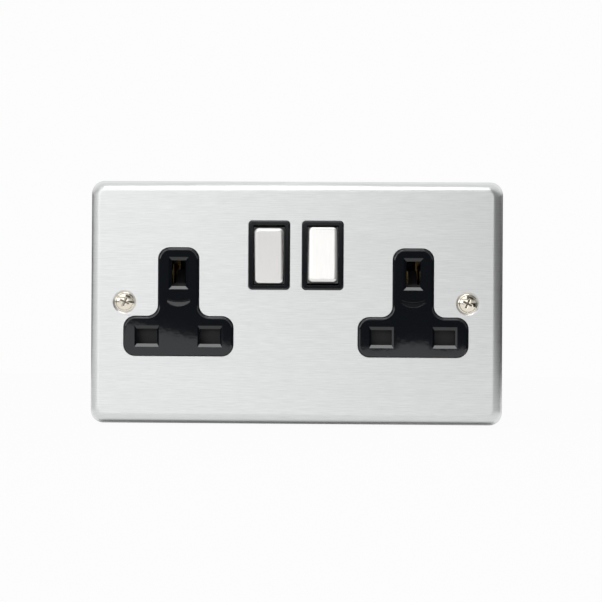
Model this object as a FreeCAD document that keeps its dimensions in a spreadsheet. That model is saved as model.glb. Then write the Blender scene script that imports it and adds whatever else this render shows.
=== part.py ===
"""A flush twin switched socket outlet for three-pin 13 A plugs, with a pressed steel front plate.

Millimetres. X runs to the right and Z up as the plate is seen on its wall. Y runs into the wall, so the
front faces -Y. The origin is the centre of the plate on the wall's surface.
"""

import FreeCAD
import Part
import math
import os
import Sketcher

# Driving dimensions, in millimetres and degrees.
SIZES = {
    # Pressed front plate.
    "plate_width": 146.0,
    "plate_height": 86.0,
    "plate_depth": 7.0,
    "plate_corner": 4.5,
    "plate_edge": 2.4,
    "plate_draft": 12.0,
    "sheet": 1.0,
    "aperture_gap": 0.15,
    # Fixing screws and the dimples that they sit in.
    "fixing_pitch": 120.6,
    "fixing_shank": 3.5,
    "fixing_length": 25.0,
    "fixing_head": 7.0,
    "fixing_dome": 0.9,
    "fixing_point": 1.0,
    "fixing_hole": 4.4,
    "dimple_mouth": 8.2,
    "recess_span": 3.8,
    "recess_width": 0.9,
    "recess_depth": 1.5,
    "recess_taper": 0.2,
    "recess_turn": 25.0,
    # Socket faces that stand through the plate.
    "socket_pitch": 82.4,
    "pin_pitch": 22.2,
    "line_pins_below": 12.0,
    "boss_proud": 0.4,
    "boss_thickness": 5.0,
    "boss_edge": 0.8,
    "boss_corner": 4.0,
    "boss_web_corner": 4.0,
    "stem_width": 14.2,
    "stem_above_earth": 8.95,
    "foot_width": 38.5,
    "foot_above_pins": 7.0,
    "foot_below_pins": 6.85,
    "earth_slot_width": 4.8,
    "earth_slot_height": 9.0,
    "line_slot_width": 7.2,
    "line_slot_height": 5.2,
    "slot_bevel_depth": 0.65,
    "slot_bevel_height": 1.15,
    "line_slot_bevel": 0.7,
    "earth_slot_bevel": 1.05,
    "scoop_below": 1.45,
    "scoop_width": 8.2,
    "scoop_height": 1.75,
    "scoop_rise": 2.9,
    "scoop_depth": 0.9,
    "scoop_lower_radius": 6.0,
    "scoop_upper_radius": 11.2,
    # Front moulding and rear housing.
    "module_half_width": 63.0,
    "module_top": 31.5,
    "module_bottom": 28.5,
    "module_wall": 1.8,
    "module_corner": 3.0,
    "module_edge": 1.2,
    "deck_thickness": 2.0,
    "rear_depth": 22.0,
    "lug_bay_from": 54.6,
    "lug_bay_half": 6.0,
    "lug_bay_corner": 0.8,
    "screw_bay": 5.0,
    "rib": 1.5,
    "post": 3.0,
    # Plug shutters.
    "slide_gap": 0.3,
    "shutter_thickness": 2.0,
    "shutter_cover": 0.6,
    "shutter_corner": 0.8,
    "shutter_travel": 6.0,
    "shutter_stem": 10.0,
    "shutter_web": 2.5,
    "ramp_width": 3.0,
    "ramp_reach": 3.3,
    "spring_window": 4.0,
    "stop_post": 1.5,
    "shutter_spring_length": 10.2,
    "shutter_spring_outside": 2.1,
    "shutter_spring_wire": 0.3,
    "shutter_spring_pitch": 1.1,
    # Rocker switches.
    "switch_pitch": 18.8,
    "switch_height": 16.7,
    "surround_width": 14.35,
    "surround_height": 24.0,
    "surround_corner": 1.2,
    "surround_open_width": 11.1,
    "surround_open_height": 21.0,
    "surround_edge": 0.4,
    "rocker_width": 10.3,
    "rocker_height": 19.6,
    "rocker_proud": 1.4,
    "rocker_tilt": 6.0,
    "rocker_edge": 1.0,
    "rocker_corner": 1.1,
    "rocker_back": 2.2,
    "rocker_flange": 0.25,
    "cap_depth": 2.6,
    "cap_wall": 0.8,
    "cap_fit": 0.05,
    "pivot_depth": 2.9,
    "trunnion": 2.5,
    "trunnion_bite": 1.3,
    "running_gap": 0.05,
    "stalk_width": 5.2,
    "stalk_height": 6.0,
    "stalk_end": 8.2,
    "stalk_corner": 1.0,
    "plunger": 2.4,
    "plunger_end": 13.0,
    "plunger_tail": 5.2,
    "plunger_nose": 1.15,
    "plunger_gap": 0.1,
    "plunger_slide_gap": 0.08,
    "spring_seat": 1.0,
    "plunger_spring_outside": 2.0,
    "plunger_spring_wire": 0.3,
    "plunger_spring_pitch": 0.75,
    # Switch contacts.
    "blade_tilt": 10.0,
    "blade_width": 5.0,
    "blade_thickness": 0.8,
    "blade_up": 10.0,
    "blade_down": 6.5,
    "blade_corner": 1.5,
    "tip": 3.0,
    "tip_reach": 8.0,
    "moving_tip_height": 0.5,
    "fixed_tip_height": 0.8,
    "contact_gap": 0.06,
    "fulcrum": 1.0,
    # Brass strip work.
    "strip": 0.8,
    "strip_width": 3.0,
    "strip_corner": 0.7,
    "strip_bend": 0.4,
    "jaw_gap": 4.2,
    "jaw_flare": 0.6,
    "jaw_throat": 2.4,
    "jaw_root": 0.5,
    "line_jaw_width": 6.5,
    "earth_jaw_width": 7.0,
    "line_jaw_mouth": 2.0,
    "earth_jaw_mouth": 3.4,
    "earth_base": 16.2,
    "earth_rise": 8.0,
    "earth_window": 3.3,
    "earth_window_top": 5.2,
    "riser_from_centre": 22.0,
    "crossover_below": 1.0,
    "neutral_below": 22.0,
    "strap": 0.6,
    "strap_width": 5.0,
    "strap_foot": 4.6,
    # Terminals.
    "terminal_width": 7.0,
    "terminal_height": 9.0,
    "terminal_depth": 8.2,
    "terminal_corner": 1.0,
    "terminal_wall": 1.4,
    "wire_hole": 4.4,
    "wire_entry": 6.0,
    "terminal_from_centre": 9.0,
    "live_terminal_below": 13.0,
    "neutral_terminal_below": 20.5,
    "earth_terminal_above": 23.5,
    "terminal_screw": 3.4,
    "terminal_head": 5.6,
    "terminal_head_height": 1.7,
    "terminal_stand": 0.8,
    "screw_chamfer": 0.3,
    "driver_slot": 0.8,
    # Screws that close the module, and studs that hold the plate to it.
    "module_screw_across": 58.8,
    "module_screw_top": 27.0,
    "module_screw_bottom": 24.4,
    "module_screw": 2.8,
    "module_screw_head": 4.8,
    "module_screw_head_height": 2.0,
    "module_screw_seat": 13.0,
    "boss_wall": 1.2,
    "stud": 3.0,
    "stud_length": 5.0,
    "stud_high_across": 25.5,
    "stud_high": 20.0,
    "stud_low_across": 18.0,
    "stud_low": 14.0,
    "nut_across_flats": 5.5,
    "nut_height": 1.8,
}

doc = FreeCAD.newDocument("twin_socket")
sheet = doc.addObject("Spreadsheet::Sheet", "dims")
nodes = []


class Size:
    """A length that carries its value and the sheet expression that gives it."""

    def __init__(self, value, text):
        self.value = value
        self.text = text

    def joined(self, sign, other, value):
        return Size(value, f"({self.text} {sign} {other.text})")

    def __add__(self, other):
        other = as_size(other)
        return self.joined("+", other, self.value + other.value)

    def __sub__(self, other):
        other = as_size(other)
        return self.joined("-", other, self.value - other.value)

    def __mul__(self, other):
        other = as_size(other)
        return self.joined("*", other, self.value * other.value)

    def __truediv__(self, other):
        other = as_size(other)
        return self.joined("/", other, self.value / other.value)

    def __radd__(self, other):
        return as_size(other) + self

    def __rsub__(self, other):
        return as_size(other) - self

    def __rmul__(self, other):
        return as_size(other) * self

    def __neg__(self):
        return as_size(0) - self


def as_size(number):
    return number if isinstance(number, Size) else Size(float(number), f"({float(number)})")


def sine(angle):
    return Size(math.sin(math.radians(angle.value)), f"sin({angle.text})")


def cosine(angle):
    return Size(math.cos(math.radians(angle.value)), f"cos({angle.text})")


def arc_cosine(ratio):
    return Size(math.degrees(math.acos(ratio.value)), f"acos({ratio.text})")


class Dimensions:
    """The sheet's cells by name."""


d = Dimensions()
for row, (alias, number) in enumerate(SIZES.items(), start=1):
    sheet.set(f"A{row}", alias)
    sheet.set(f"B{row}", str(number))
    sheet.setAlias(f"B{row}", alias)
    setattr(d, alias, Size(number, f"dims.{alias}"))
doc.recompute()


# Drawing helpers. Every size and place is bound to the sheet.


def bind(thing, prop, amount):
    thing.setExpression(prop, as_size(amount).text)


def place(thing, at=(0, 0, 0), turn_about=None, angle=0):
    if turn_about:
        thing.Placement = FreeCAD.Placement(FreeCAD.Vector(), FreeCAD.Vector(*turn_about), 1.0)
        bind(thing, "Placement.Rotation.Angle", angle)
    for letter, amount in zip("xyz", at):
        bind(thing, f"Placement.Base.{letter}", amount)


def node(label, thing):
    """Names a finished sub-part."""
    thing.Label = label
    nodes.append(thing)
    return thing


def fuse(name, parts):
    whole = doc.addObject("Part::MultiFuse", name)
    whole.Shapes = parts
    whole.Refine = True
    return whole


def common(name, parts):
    whole = doc.addObject("Part::MultiCommon", name)
    whole.Shapes = parts
    return whole


def cut(name, base, tools):
    whole = doc.addObject("Part::Cut", name)
    whole.Base = base
    whole.Tool = tools[0] if len(tools) == 1 else fuse(name + "_tools", tools)
    whole.Refine = True
    return whole


def group(name, parts):
    whole = doc.addObject("Part::Compound", name)
    whole.Links = parts
    return whole


def block(name, x, y, z):
    """A box between pairs of low and high limits."""
    box = doc.addObject("Part::Box", name)
    for prop, (low, high) in zip(("Length", "Width", "Height"), (x, y, z)):
        bind(box, prop, as_size(high) - low)
    place(box, (x[0], y[0], z[0]))
    return box


def rod(name, axis, low, high, radius, across):
    """A cylinder along an axis. across is its centre on the other two axes, in order."""
    bar = doc.addObject("Part::Cylinder", name)
    bind(bar, "Radius", radius)
    bind(bar, "Height", as_size(high) - low)
    if axis == "X":
        place(bar, (low, across[0], across[1]), (0, 1, 0), 90)
    elif axis == "Y":
        place(bar, (across[0], low, across[1]), (1, 0, 0), -90)
    else:
        place(bar, (across[0], across[1], low))
    return bar


def tapered(name, x, y, z, taper, rise):
    """A box whose sides lean in at its back: left and right by taper, top and bottom by rise."""
    wedge = doc.addObject("Part::Wedge", name)
    limits = {
        "Xmin": x[0],
        "Xmax": x[1],
        "Ymin": y[0],
        "Ymax": y[1],
        "Zmin": z[0],
        "Zmax": z[1],
        "X2min": x[0] + taper,
        "X2max": x[1] - taper,
        "Z2min": z[0] + rise,
        "Z2max": z[1] - rise,
    }
    for prop, amount in limits.items():
        bind(wedge, prop, amount)
    return wedge


def around(middle, half):
    return (middle - half, middle + half)


def ordered(a, b):
    return (a, b) if as_size(a).value < as_size(b).value else (b, a)


def rectangle(x, z):
    return [(x[0], z[0]), (x[1], z[0]), (x[1], z[1]), (x[0], z[1])]


def new_body(name):
    return doc.addObject("PartDesign::Body", name)


def polygon(body, name, plane, points, offset=0):
    """A closed sketch whose corners are each held to the origin by two sheet distances."""
    sketch = body.newObject("Sketcher::SketchObject", name)
    support = [f for f in body.Origin.OriginFeatures if f.Role == plane][0]
    sketch.AttachmentSupport = [(support, "")]
    sketch.MapMode = "FlatFace"
    bind(sketch, "AttachmentOffset.Base.z", offset)
    corners = [(as_size(across), as_size(up)) for across, up in points]
    spots = [FreeCAD.Vector(across.value, up.value, 0) for across, up in corners]
    count = len(spots)
    for i in range(count):
        sketch.addGeometry(Part.LineSegment(spots[i], spots[(i + 1) % count]), False)
    for i in range(count):
        sketch.addConstraint(Sketcher.Constraint("Coincident", i, 2, (i + 1) % count, 1))
    for i, (across, up) in enumerate(corners):
        for kind, amount in (("DistanceX", across), ("DistanceY", up)):
            held = sketch.addConstraint(Sketcher.Constraint(kind, -1, 1, i, 1, amount.value))
            bind(sketch, f"Constraints[{held}]", amount)
    return sketch


def pad(body, sketch, length, midplane=False):
    feature = body.newObject("PartDesign::Pad", sketch.Name + "_pad")
    feature.Profile = sketch
    bind(feature, "Length", length)
    feature.Midplane = midplane
    doc.recompute()
    return feature


def pocket_through(body, sketch):
    feature = body.newObject("PartDesign::Pocket", sketch.Name + "_pocket")
    feature.Profile = sketch
    feature.Type = "ThroughAll"
    feature.Midplane = True
    doc.recompute()
    return feature


def round_edges(body, base, name, radius, wanted):
    """Rounds the edges of base that wanted accepts."""
    feature = body.newObject("PartDesign::Fillet", name)
    picked = [f"Edge{i}" for i, edge in enumerate(base.Shape.Edges, start=1) if wanted(edge)]
    feature.Base = (base, picked)
    bind(feature, "Radius", radius)
    doc.recompute()
    return feature


def shell(body, base, name, wall, level):
    """Hollows base to a wall, open where its face lies at a level of Y."""
    flat = [
        f"Face{i}"
        for i, face in enumerate(base.Shape.Faces, start=1)
        if face.BoundBox.YLength < 1e-6 and abs(face.BoundBox.YMin - level.value) < 1e-6
    ]
    feature = body.newObject("PartDesign::Thickness", name)
    feature.Base = (base, flat)
    bind(feature, "Value", wall)
    feature.Reversed = True
    doc.recompute()
    return feature


def runs_along(edge, axis):
    if edge.Curve.TypeId != "Part::GeomLine":
        return False
    return abs(getattr(edge.tangentAt(edge.FirstParameter), axis)) > 0.999


def loop_at(level):
    """Accepts the edges that lie at one level of Y."""
    return lambda edge: edge.BoundBox.YLength < 1e-4 and abs(edge.BoundBox.YMin - level.value) < 1e-4


def standing_at(corners, axis="y", across="xz"):
    """Accepts straight edges along an axis that stand at one of the given corners."""
    spots = [(as_size(first).value, as_size(second).value) for first, second in corners]

    def wanted(edge):
        if not runs_along(edge, axis):
            return False
        middle = edge.CenterOfMass
        first, second = getattr(middle, across[0]), getattr(middle, across[1])
        return any(abs(first - a) < 0.01 and abs(second - b) < 0.01 for a, b in spots)

    return wanted


def slab(name, outline, front, back, rounds=(), front_edge=None):
    """A flat piece between two levels of Y. rounds pairs a radius with the corners that get it."""
    body = new_body(name)
    sketch = polygon(body, name + "_outline", "XZ_Plane", outline, -as_size(back))
    whole = pad(body, sketch, as_size(back) - front)
    for i, (radius, corners) in enumerate(rounds):
        whole = round_edges(body, whole, f"{name}_round_{i}", radius, standing_at(corners))
    if front_edge is not None:
        round_edges(body, whole, name + "_front_edge", front_edge, loop_at(as_size(front)))
    return body


def extrusion(name, profile, width, x=0):
    """A side profile, drawn in Y and Z, pulled out along X to both sides of x."""
    body = new_body(name)
    sketch = polygon(body, name + "_side", "YZ_Plane", profile, x)
    pad(body, sketch, width, midplane=True)
    return body


def turned(name, profile, x=0, z=0):
    """A half profile of radius and level, turned about a line along Y. It starts and ends on that line."""
    body = new_body(name)
    points = [(x + radius, level) for radius, level in profile]
    sketch = polygon(body, name + "_half", "XY_Plane", points, z)
    spun = body.newObject("PartDesign::Revolution", name + "_turned")
    spun.Profile = sketch
    spun.ReferenceAxis = (sketch, [f"Edge{len(points)}"])
    spun.Angle = 360
    doc.recompute()
    return body


def ribbon(points, half):
    """The outline of a strip of even width along a square-cornered middle line."""
    steps = []
    for (x0, z0), (x1, z1) in zip(points, points[1:]):
        run = (as_size(x1).value - as_size(x0).value, as_size(z1).value - as_size(z0).value)
        steps.append(tuple((part > 1e-9) - (part < -1e-9) for part in run))
    left, right = [], []
    for i, (x, z) in enumerate(points):
        before = steps[max(i - 1, 0)]
        after = steps[min(i, len(steps) - 1)]
        normals = {(-step[1], step[0]) for step in (before, after)}
        shift_x = sum(normal[0] for normal in normals)
        shift_z = sum(normal[1] for normal in normals)
        left.append((x + half * shift_x, z + half * shift_z))
        right.append((x - half * shift_x, z - half * shift_z))
    return left + right[::-1]


def spring(name, outside, wire, pitch, length):
    """A compression spring along Z from 0 to length, of wire drawn with six flats."""
    steps_per_turn = 12
    radius = (outside.value - wire.value) / 2
    rise = length.value - wire.value
    steps = round(rise / pitch.value * steps_per_turn)
    spots = []
    for i in range(steps + 1):
        turn = 2 * math.pi * i / steps_per_turn
        level = wire.value / 2 + rise * i / steps
        spots.append(FreeCAD.Vector(radius * math.cos(turn), radius * math.sin(turn), level))
    rings = [wire_ring(spots, i, wire.value / 2) for i in range(len(spots))]
    faces = []
    for ring, following in zip(rings, rings[1:]):
        for j in range(len(ring)):
            k = (j + 1) % len(ring)
            faces.append(Part.Face(Part.makePolygon([ring[j], ring[k], following[k], ring[j]])))
            faces.append(Part.Face(Part.makePolygon([ring[j], following[k], following[j], ring[j]])))
    for ring in (rings[0], rings[-1]):
        faces.append(Part.Face(Part.makePolygon(ring + ring[:1])))
    coil = doc.addObject("Part::Feature", name)
    solid = Part.makeSolid(Part.makeShell(faces))
    coil.Shape = solid if solid.Volume > 0 else solid.reversed()
    return coil


def wire_ring(spots, i, radius):
    """Six points round one spot of a coil."""
    before = spots[max(i - 1, 0)]
    after = spots[min(i + 1, len(spots) - 1)]
    along = (after - before).normalize()
    outward = FreeCAD.Vector(spots[i].x, spots[i].y, 0).normalize()
    outward = (outward - along * outward.dot(along)).normalize()
    upward = along.cross(outward)
    ring = []
    for j in range(6):
        turn = math.pi / 3 * j
        ring.append(spots[i] + outward * (radius * math.cos(turn)) + upward * (radius * math.sin(turn)))
    return ring


# Levels that the pieces share, from the front to the back.
plate_face = -d.plate_depth
plate_back = plate_face + d.sheet
boss_face = plate_face - d.boss_proud
deck_back = plate_back + d.deck_thickness
chamber_front = boss_face + d.boss_thickness
shutter_front = chamber_front + d.slide_gap
shutter_back = shutter_front + d.shutter_thickness
seam = shutter_back + d.slide_gap
housing_floor = d.rear_depth - d.module_wall
rocker_pivot = boss_face + d.pivot_depth
blade_pivot = rocker_pivot + d.plunger_end + d.plunger_gap + d.blade_thickness / 2
blade_swing = (d.tip_reach + d.tip / 2) * sine(d.blade_tilt)
blade_stack = (d.blade_thickness / 2 + d.moving_tip_height) * cosine(d.blade_tilt)
fixed_tip_face = blade_pivot + blade_swing + blade_stack + d.contact_gap
strip_front = fixed_tip_face + d.fixed_tip_height
strip_back = strip_front + d.strip
earth_front = d.earth_base
earth_back = earth_front + d.strip
wire_level = strip_back + d.terminal_wall + d.wire_hole / 2
terminal_back = strip_back + d.terminal_depth

# Places on the plate, seen from the front.
line_z = -d.line_pins_below
earth_z = line_z + d.pin_pitch
foot_low = line_z - d.foot_below_pins
foot_high = line_z + d.foot_above_pins
stem_top = earth_z + d.stem_above_earth
tip_z = d.switch_height + d.tip_reach * cosine(d.blade_tilt)
half_strip = d.strip_width / 2
terminal_half = d.terminal_width / 2
terminal_up = d.terminal_height / 2
strap_top = d.earth_terminal_above + terminal_up + d.strap
SIDES = {"left": -1, "right": 1}


def socket_x(side):
    return d.socket_pitch / 2 * side


def switch_x(side):
    return d.switch_pitch / 2 * side


def neutral_x(side):
    return socket_x(side) - d.pin_pitch / 2


def live_x(side):
    return socket_x(side) + d.pin_pitch / 2


# Terminals: middle in X and Z, and which way the wire leaves.
TERMINALS = {
    "live_terminal": (-d.terminal_from_centre, -d.live_terminal_below, -1),
    "neutral_terminal": (d.terminal_from_centre, -d.neutral_terminal_below, -1),
    "earth_terminal_left": (socket_x(-1), d.earth_terminal_above, 1),
    "earth_terminal_right": (socket_x(1), d.earth_terminal_above, 1),
}


def module_screw_places():
    heights = (d.module_screw_top, -d.module_screw_bottom)
    return [(d.module_screw_across * side, up) for side in SIDES.values() for up in heights]


def stud_places():
    high = [(d.stud_high_across * side, d.stud_high) for side in SIDES.values()]
    return high + [(d.stud_low_across * side, -d.stud_low) for side in SIDES.values()]


def socket_outline(side, grow=0):
    """The inverted T of a socket face, anticlockwise from its lower left corner."""
    x = socket_x(side)
    foot = d.foot_width / 2 + grow
    stem = d.stem_width / 2 + grow
    return [
        (x - foot, foot_low - grow),
        (x + foot, foot_low - grow),
        (x + foot, foot_high + grow),
        (x + stem, foot_high + grow),
        (x + stem, stem_top + grow),
        (x - stem, stem_top + grow),
        (x - stem, foot_high + grow),
        (x - foot, foot_high + grow),
    ]


def socket_rounds(outline, grow=0):
    """The radii of the T's outer corners and of its two inner ones."""
    outer = [outline[i] for i in (0, 1, 2, 4, 5, 7)]
    inner = [outline[i] for i in (3, 6)]
    return [(d.boss_corner + grow, outer), (d.boss_web_corner - grow, inner)]


def surround_outline(side, grow=0):
    x = around(switch_x(side), d.surround_width / 2 + grow)
    return rectangle(x, around(d.switch_height, d.surround_height / 2 + grow))


# Front plate: one pressed sheet with leaning, rolled edges, cut-outs and two screw dimples.


def rises_from_rim(edge):
    return edge.BoundBox.YLength > d.plate_depth.value / 2


def make_front_plate():
    half_w = d.plate_width / 2
    half_h = d.plate_height / 2
    rim = rectangle((-half_w, half_w), (-half_h, half_h))
    body = new_body("front_plate")
    whole = pad(body, polygon(body, "plate_rim", "XZ_Plane", rim), d.plate_depth)
    bind(whole, "TaperAngle", -d.plate_draft)
    doc.recompute()
    whole = round_edges(body, whole, "plate_corner", d.plate_corner, rises_from_rim)
    whole = shell(body, whole, "plate_sheet", d.sheet, as_size(0))
    whole = round_edges(body, whole, "plate_roll_inside", d.plate_edge - d.sheet, loop_at(plate_back))
    round_edges(body, whole, "plate_roll", d.plate_edge, loop_at(plate_face))
    for side_name, side in SIDES.items():
        press_dimple(body, side_name, side)
    for side_name, side in SIDES.items():
        outline = socket_outline(side, d.aperture_gap)
        pierce(body, "socket_opening_" + side_name, outline, socket_rounds(outline, d.aperture_gap))
        outline = surround_outline(side, d.aperture_gap)
        pierce(body, "switch_opening_" + side_name, outline, [(d.surround_corner + d.aperture_gap, outline)])
    node("front_plate", body)


def pierce(body, name, outline, rounds):
    whole = pocket_through(body, polygon(body, name, "XZ_Plane", outline))
    for i, (radius, corners) in enumerate(rounds):
        whole = round_edges(body, whole, f"{name}_round_{i}", radius, standing_at(corners))


def press_dimple(body, side_name, side):
    """Presses the sheet back into a cone for the screw's head, and pierces it."""
    x = d.fixing_pitch / 2 * side
    mouth = d.dimple_mouth / 2
    hole = d.fixing_hole / 2
    depth = mouth - hole
    middle = plate_face + d.sheet / 2
    outside = [
        (x, middle),
        (x + mouth + d.sheet / 2, middle),
        (x + hole + d.sheet / 2, middle + depth),
        (x, middle + depth),
    ]
    inside = [
        (x, plate_face - d.sheet),
        (x + mouth + d.sheet, plate_face - d.sheet),
        (x + hole, plate_face + depth),
        (x + hole, middle + depth + d.sheet),
        (x, middle + depth + d.sheet),
    ]
    for kind, profile in (("Revolution", outside), ("Groove", inside)):
        sketch = polygon(body, f"dimple_{kind}_{side_name}", "XY_Plane", profile)
        feature = body.newObject("PartDesign::" + kind, f"dimple_{side_name}_{kind}")
        feature.Profile = sketch
        feature.ReferenceAxis = (sketch, [f"Edge{len(profile)}"])
        feature.Angle = 360
        doc.recompute()


# Front moulding: one black moulding whose socket faces and switch surrounds stand through the plate.


def module_prism(name, front, back, inset=0):
    half = d.module_half_width - inset
    outline = rectangle((-half, half), (inset - d.module_bottom, d.module_top - inset))
    return slab(name, outline, front, back, [(d.module_corner - inset, outline)])


def pin_slot(name, x, z, width, height, bevel):
    """Cutters for a slot with bevelled sides at its mouth."""
    across = around(x, width / 2)
    up = around(z, height / 2)
    rise = d.slot_bevel_height
    mouth_x = around(x, width / 2 + bevel)
    mouth_z = around(z, height / 2 + rise)
    level = (boss_face, boss_face + d.slot_bevel_depth)
    mouth = tapered(name + "_mouth", mouth_x, level, mouth_z, bevel, rise)
    return [mouth, block(name, across, (boss_face, seam), up)]


def socket_slots(side_name, side):
    line = (d.line_slot_width, d.line_slot_height, d.line_slot_bevel)
    slots = pin_slot("neutral_slot_" + side_name, neutral_x(side), line_z, *line)
    slots += pin_slot("live_slot_" + side_name, live_x(side), line_z, *line)
    earth = (d.earth_slot_width, d.earth_slot_height, d.earth_slot_bevel)
    return slots + pin_slot("earth_slot_" + side_name, socket_x(side), earth_z, *earth)


def crescent_scoop(side_name, side):
    """Cutter for the shallow crescent below the earth slot. Its floor slopes in towards its top."""
    x = socket_x(side)
    low = -d.scoop_below
    level = (boss_face, boss_face + d.scoop_depth)
    lower = d.scoop_lower_radius
    upper = d.scoop_upper_radius
    bowl = rod("scoop_bowl_" + side_name, "Y", *level, lower, (x, low + lower))
    lid = rod("scoop_lid_" + side_name, "Y", *level, upper, (x, low + d.scoop_height + upper))
    top = low + d.scoop_rise
    floor = [(boss_face, low), (boss_face + d.scoop_depth, top), (boss_face, top)]
    slope = extrusion("scoop_slope_" + side_name, floor, d.scoop_width, x)
    crescent = cut("scoop_crescent_" + side_name, bowl, [lid])
    return common("scoop_" + side_name, [crescent, slope])


# Shutter sizes that its guides share.
bar_low = line_z - d.line_slot_height / 2 - d.shutter_cover
bar_high = line_z + d.line_slot_height / 2 + d.shutter_cover
bar_half = d.pin_pitch / 2 + d.line_slot_width / 2 + d.shutter_cover
post_low = bar_high + d.shutter_web / 2
post_high = post_low + d.stop_post
window_low = post_low - d.slide_gap
window_high = post_high + d.shutter_spring_length
stem_end = window_high + d.shutter_web
ramp_foot = earth_z - d.earth_slot_height / 2


def shutter_guides(side_name, side):
    """Rails beside the shutter and the post that its spring pushes against."""
    x = socket_x(side)
    level = (chamber_front - d.rib / 2, seam)
    guides = []
    for hand in SIDES.values():
        inner = x + (bar_half + d.slide_gap) * hand
        limits = ordered(inner, inner + d.rib * hand)
        guides.append(block("bar_rail", limits, level, (bar_low - d.shutter_travel, bar_high)))
        inner = x + (d.shutter_stem / 2 + d.slide_gap) * hand
        limits = ordered(inner, inner + d.rib * hand)
        guides.append(block("stem_rail", limits, level, (post_high, window_high)))
    half = d.spring_window / 2 - d.slide_gap
    guides.append(block("stop_post", around(x, half), (level[0], shutter_back), (post_low, post_high)))
    return guides


def rocker_seat(side_name, side):
    """Cutters for a rocker's opening and its two bearings."""
    x = switch_x(side)
    half_w = d.surround_open_width / 2
    up = around(d.switch_height, d.surround_open_height / 2)
    opening = block("rocker_opening_" + side_name, around(x, half_w), (boss_face, seam), up)
    limits = around(x, half_w + d.trunnion_bite)
    bore = d.trunnion / 2 + d.running_gap
    bearing = rod("rocker_bearing_" + side_name, "X", *limits, bore, (rocker_pivot, d.switch_height))
    return [opening, bearing]


def screw_bay(side_name, side):
    """Cutters that keep a fixing screw and its dimple clear, open to the side."""
    x = d.fixing_pitch / 2 * side
    round_end = rod("screw_bay_end_" + side_name, "Y", plate_back, seam, d.screw_bay, (x, 0))
    limits = ordered(x, d.module_half_width * side)
    way = block("screw_bay_" + side_name, limits, (plate_back, seam), (-d.screw_bay, d.screw_bay))
    return [round_end, way]


def strap_passage():
    """Cutter for the way of the plate's earth strap through the deck."""
    x = around(socket_x(-1), d.strap_width / 2 + d.slide_gap)
    z = (strap_top - d.strap_foot - d.slide_gap, strap_top + d.slide_gap)
    return block("strap_passage", x, (plate_back, deck_back), z)


def make_front_moulding():
    skirt = module_prism("skirt", plate_back, seam)
    inside = module_prism("skirt_inside", deck_back, seam, d.module_wall)
    solids = [cut("deck_and_skirt", skirt, [inside])]
    cutters = [strap_passage()]
    for side_name, side in SIDES.items():
        outline = socket_outline(side)
        rounds = socket_rounds(outline)
        solids.append(slab("boss_" + side_name, outline, boss_face, chamber_front, rounds, d.boss_edge))
        outline = surround_outline(side)
        rounds = [(d.surround_corner, outline)]
        solids.append(slab("surround_" + side_name, outline, boss_face, seam, rounds, d.surround_edge))
        solids += shutter_guides(side_name, side)
        cutters += socket_slots(side_name, side)
        cutters.append(crescent_scoop(side_name, side))
        cutters += rocker_seat(side_name, side)
        cutters += screw_bay(side_name, side)
    for spot in module_screw_places():
        solids.append(rod("screw_boss", "Y", plate_back, seam, d.module_screw / 2 + d.boss_wall, spot))
        cutters.append(rod("pilot", "Y", deck_back, seam, d.module_screw / 2 + d.running_gap, spot))
    for spot in stud_places():
        cutters.append(rod("stud_hole", "Y", plate_back, deck_back, d.stud / 2 + d.running_gap, spot))
    node("front_moulding", cut("front_moulding", fuse("front_moulding_solid", solids), cutters))


# Rear housing: a moulded tray with wells for terminals, posts for the brass work and bays for box lugs.


def housing_tray():
    wide = d.module_half_width
    bay = d.lug_bay_from
    half = d.lug_bay_half
    low = -d.module_bottom
    high = d.module_top
    ends = [(wide, low), (wide, high), (-wide, high), (-wide, low)]
    bays = [(bay, -half), (bay, half), (-bay, half), (-bay, -half)]
    outline = [ends[0], (wide, -half), bays[0], bays[1], (wide, half), ends[1]]
    outline += [ends[2], (-wide, half), bays[2], bays[3], (-wide, -half), ends[3]]
    rounds = [(d.module_corner, ends), (d.lug_bay_corner, bays)]
    body = slab("housing_tray", outline, seam, d.rear_depth, rounds)
    hollow = shell(body, body.Tip, "housing_wall", d.module_wall, seam)
    round_edges(body, hollow, "housing_edge", d.module_edge, loop_at(d.rear_depth))
    return body


def strip_posts():
    """Posts that the flat strips lie on, each from a strip's back to the floor."""
    between = (d.switch_pitch / 2 + d.riser_from_centre) / 2
    line_spots = [(as_size(0), as_size(0))]
    earth_spots = [(as_size(0), earth_z)]
    for side in SIDES.values():
        line_spots += [(neutral_x(side), line_z), (live_x(side), line_z)]
        line_spots += [(d.riser_from_centre * side, d.post), (between * side, tip_z)]
        earth_spots.append((socket_x(side), earth_z))
    posts = []
    for spots, level in ((line_spots, strip_back), (earth_spots, earth_back)):
        for x, z in spots:
            half = d.post / 2
            posts.append(block("strip_post", around(x, half), (level, housing_floor), around(z, half)))
    return posts


def make_rear_housing():
    solids = [housing_tray()] + strip_posts()
    cutters = []
    for side_name, side in SIDES.items():
        across = around(socket_x(side), d.rib / 2)
        level = (seam + d.pivot_depth, housing_floor)
        solids.append(block("pole_divider_" + side_name, across, level, (foot_low, line_z + d.rib)))
    well = d.module_screw_head / 2 + d.slide_gap
    for spot in module_screw_places():
        solids.append(rod("screw_tower", "Y", seam, d.rear_depth, well + d.boss_wall - d.slide_gap, spot))
        cutters.append(rod("screw_way", "Y", seam, d.rear_depth, d.module_screw / 2 + d.running_gap, spot))
        cutters.append(rod("screw_well", "Y", d.module_screw_seat, d.rear_depth, well, spot))
    for name, (x, z, way) in TERMINALS.items():
        across = around(x, terminal_half + d.slide_gap)
        up = around(z, terminal_up + d.slide_gap)
        cutters.append(block(name + "_well", across, (strip_back, d.rear_depth), up))
        edge = d.module_top if way > 0 else -d.module_bottom
        entry = d.wire_entry / 2
        cutters.append(block(name + "_entry", around(x, entry), around(wire_level, entry), ordered(z, edge)))
    node("rear_housing", cut("rear_housing", fuse("rear_housing_solid", solids), cutters))


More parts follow.
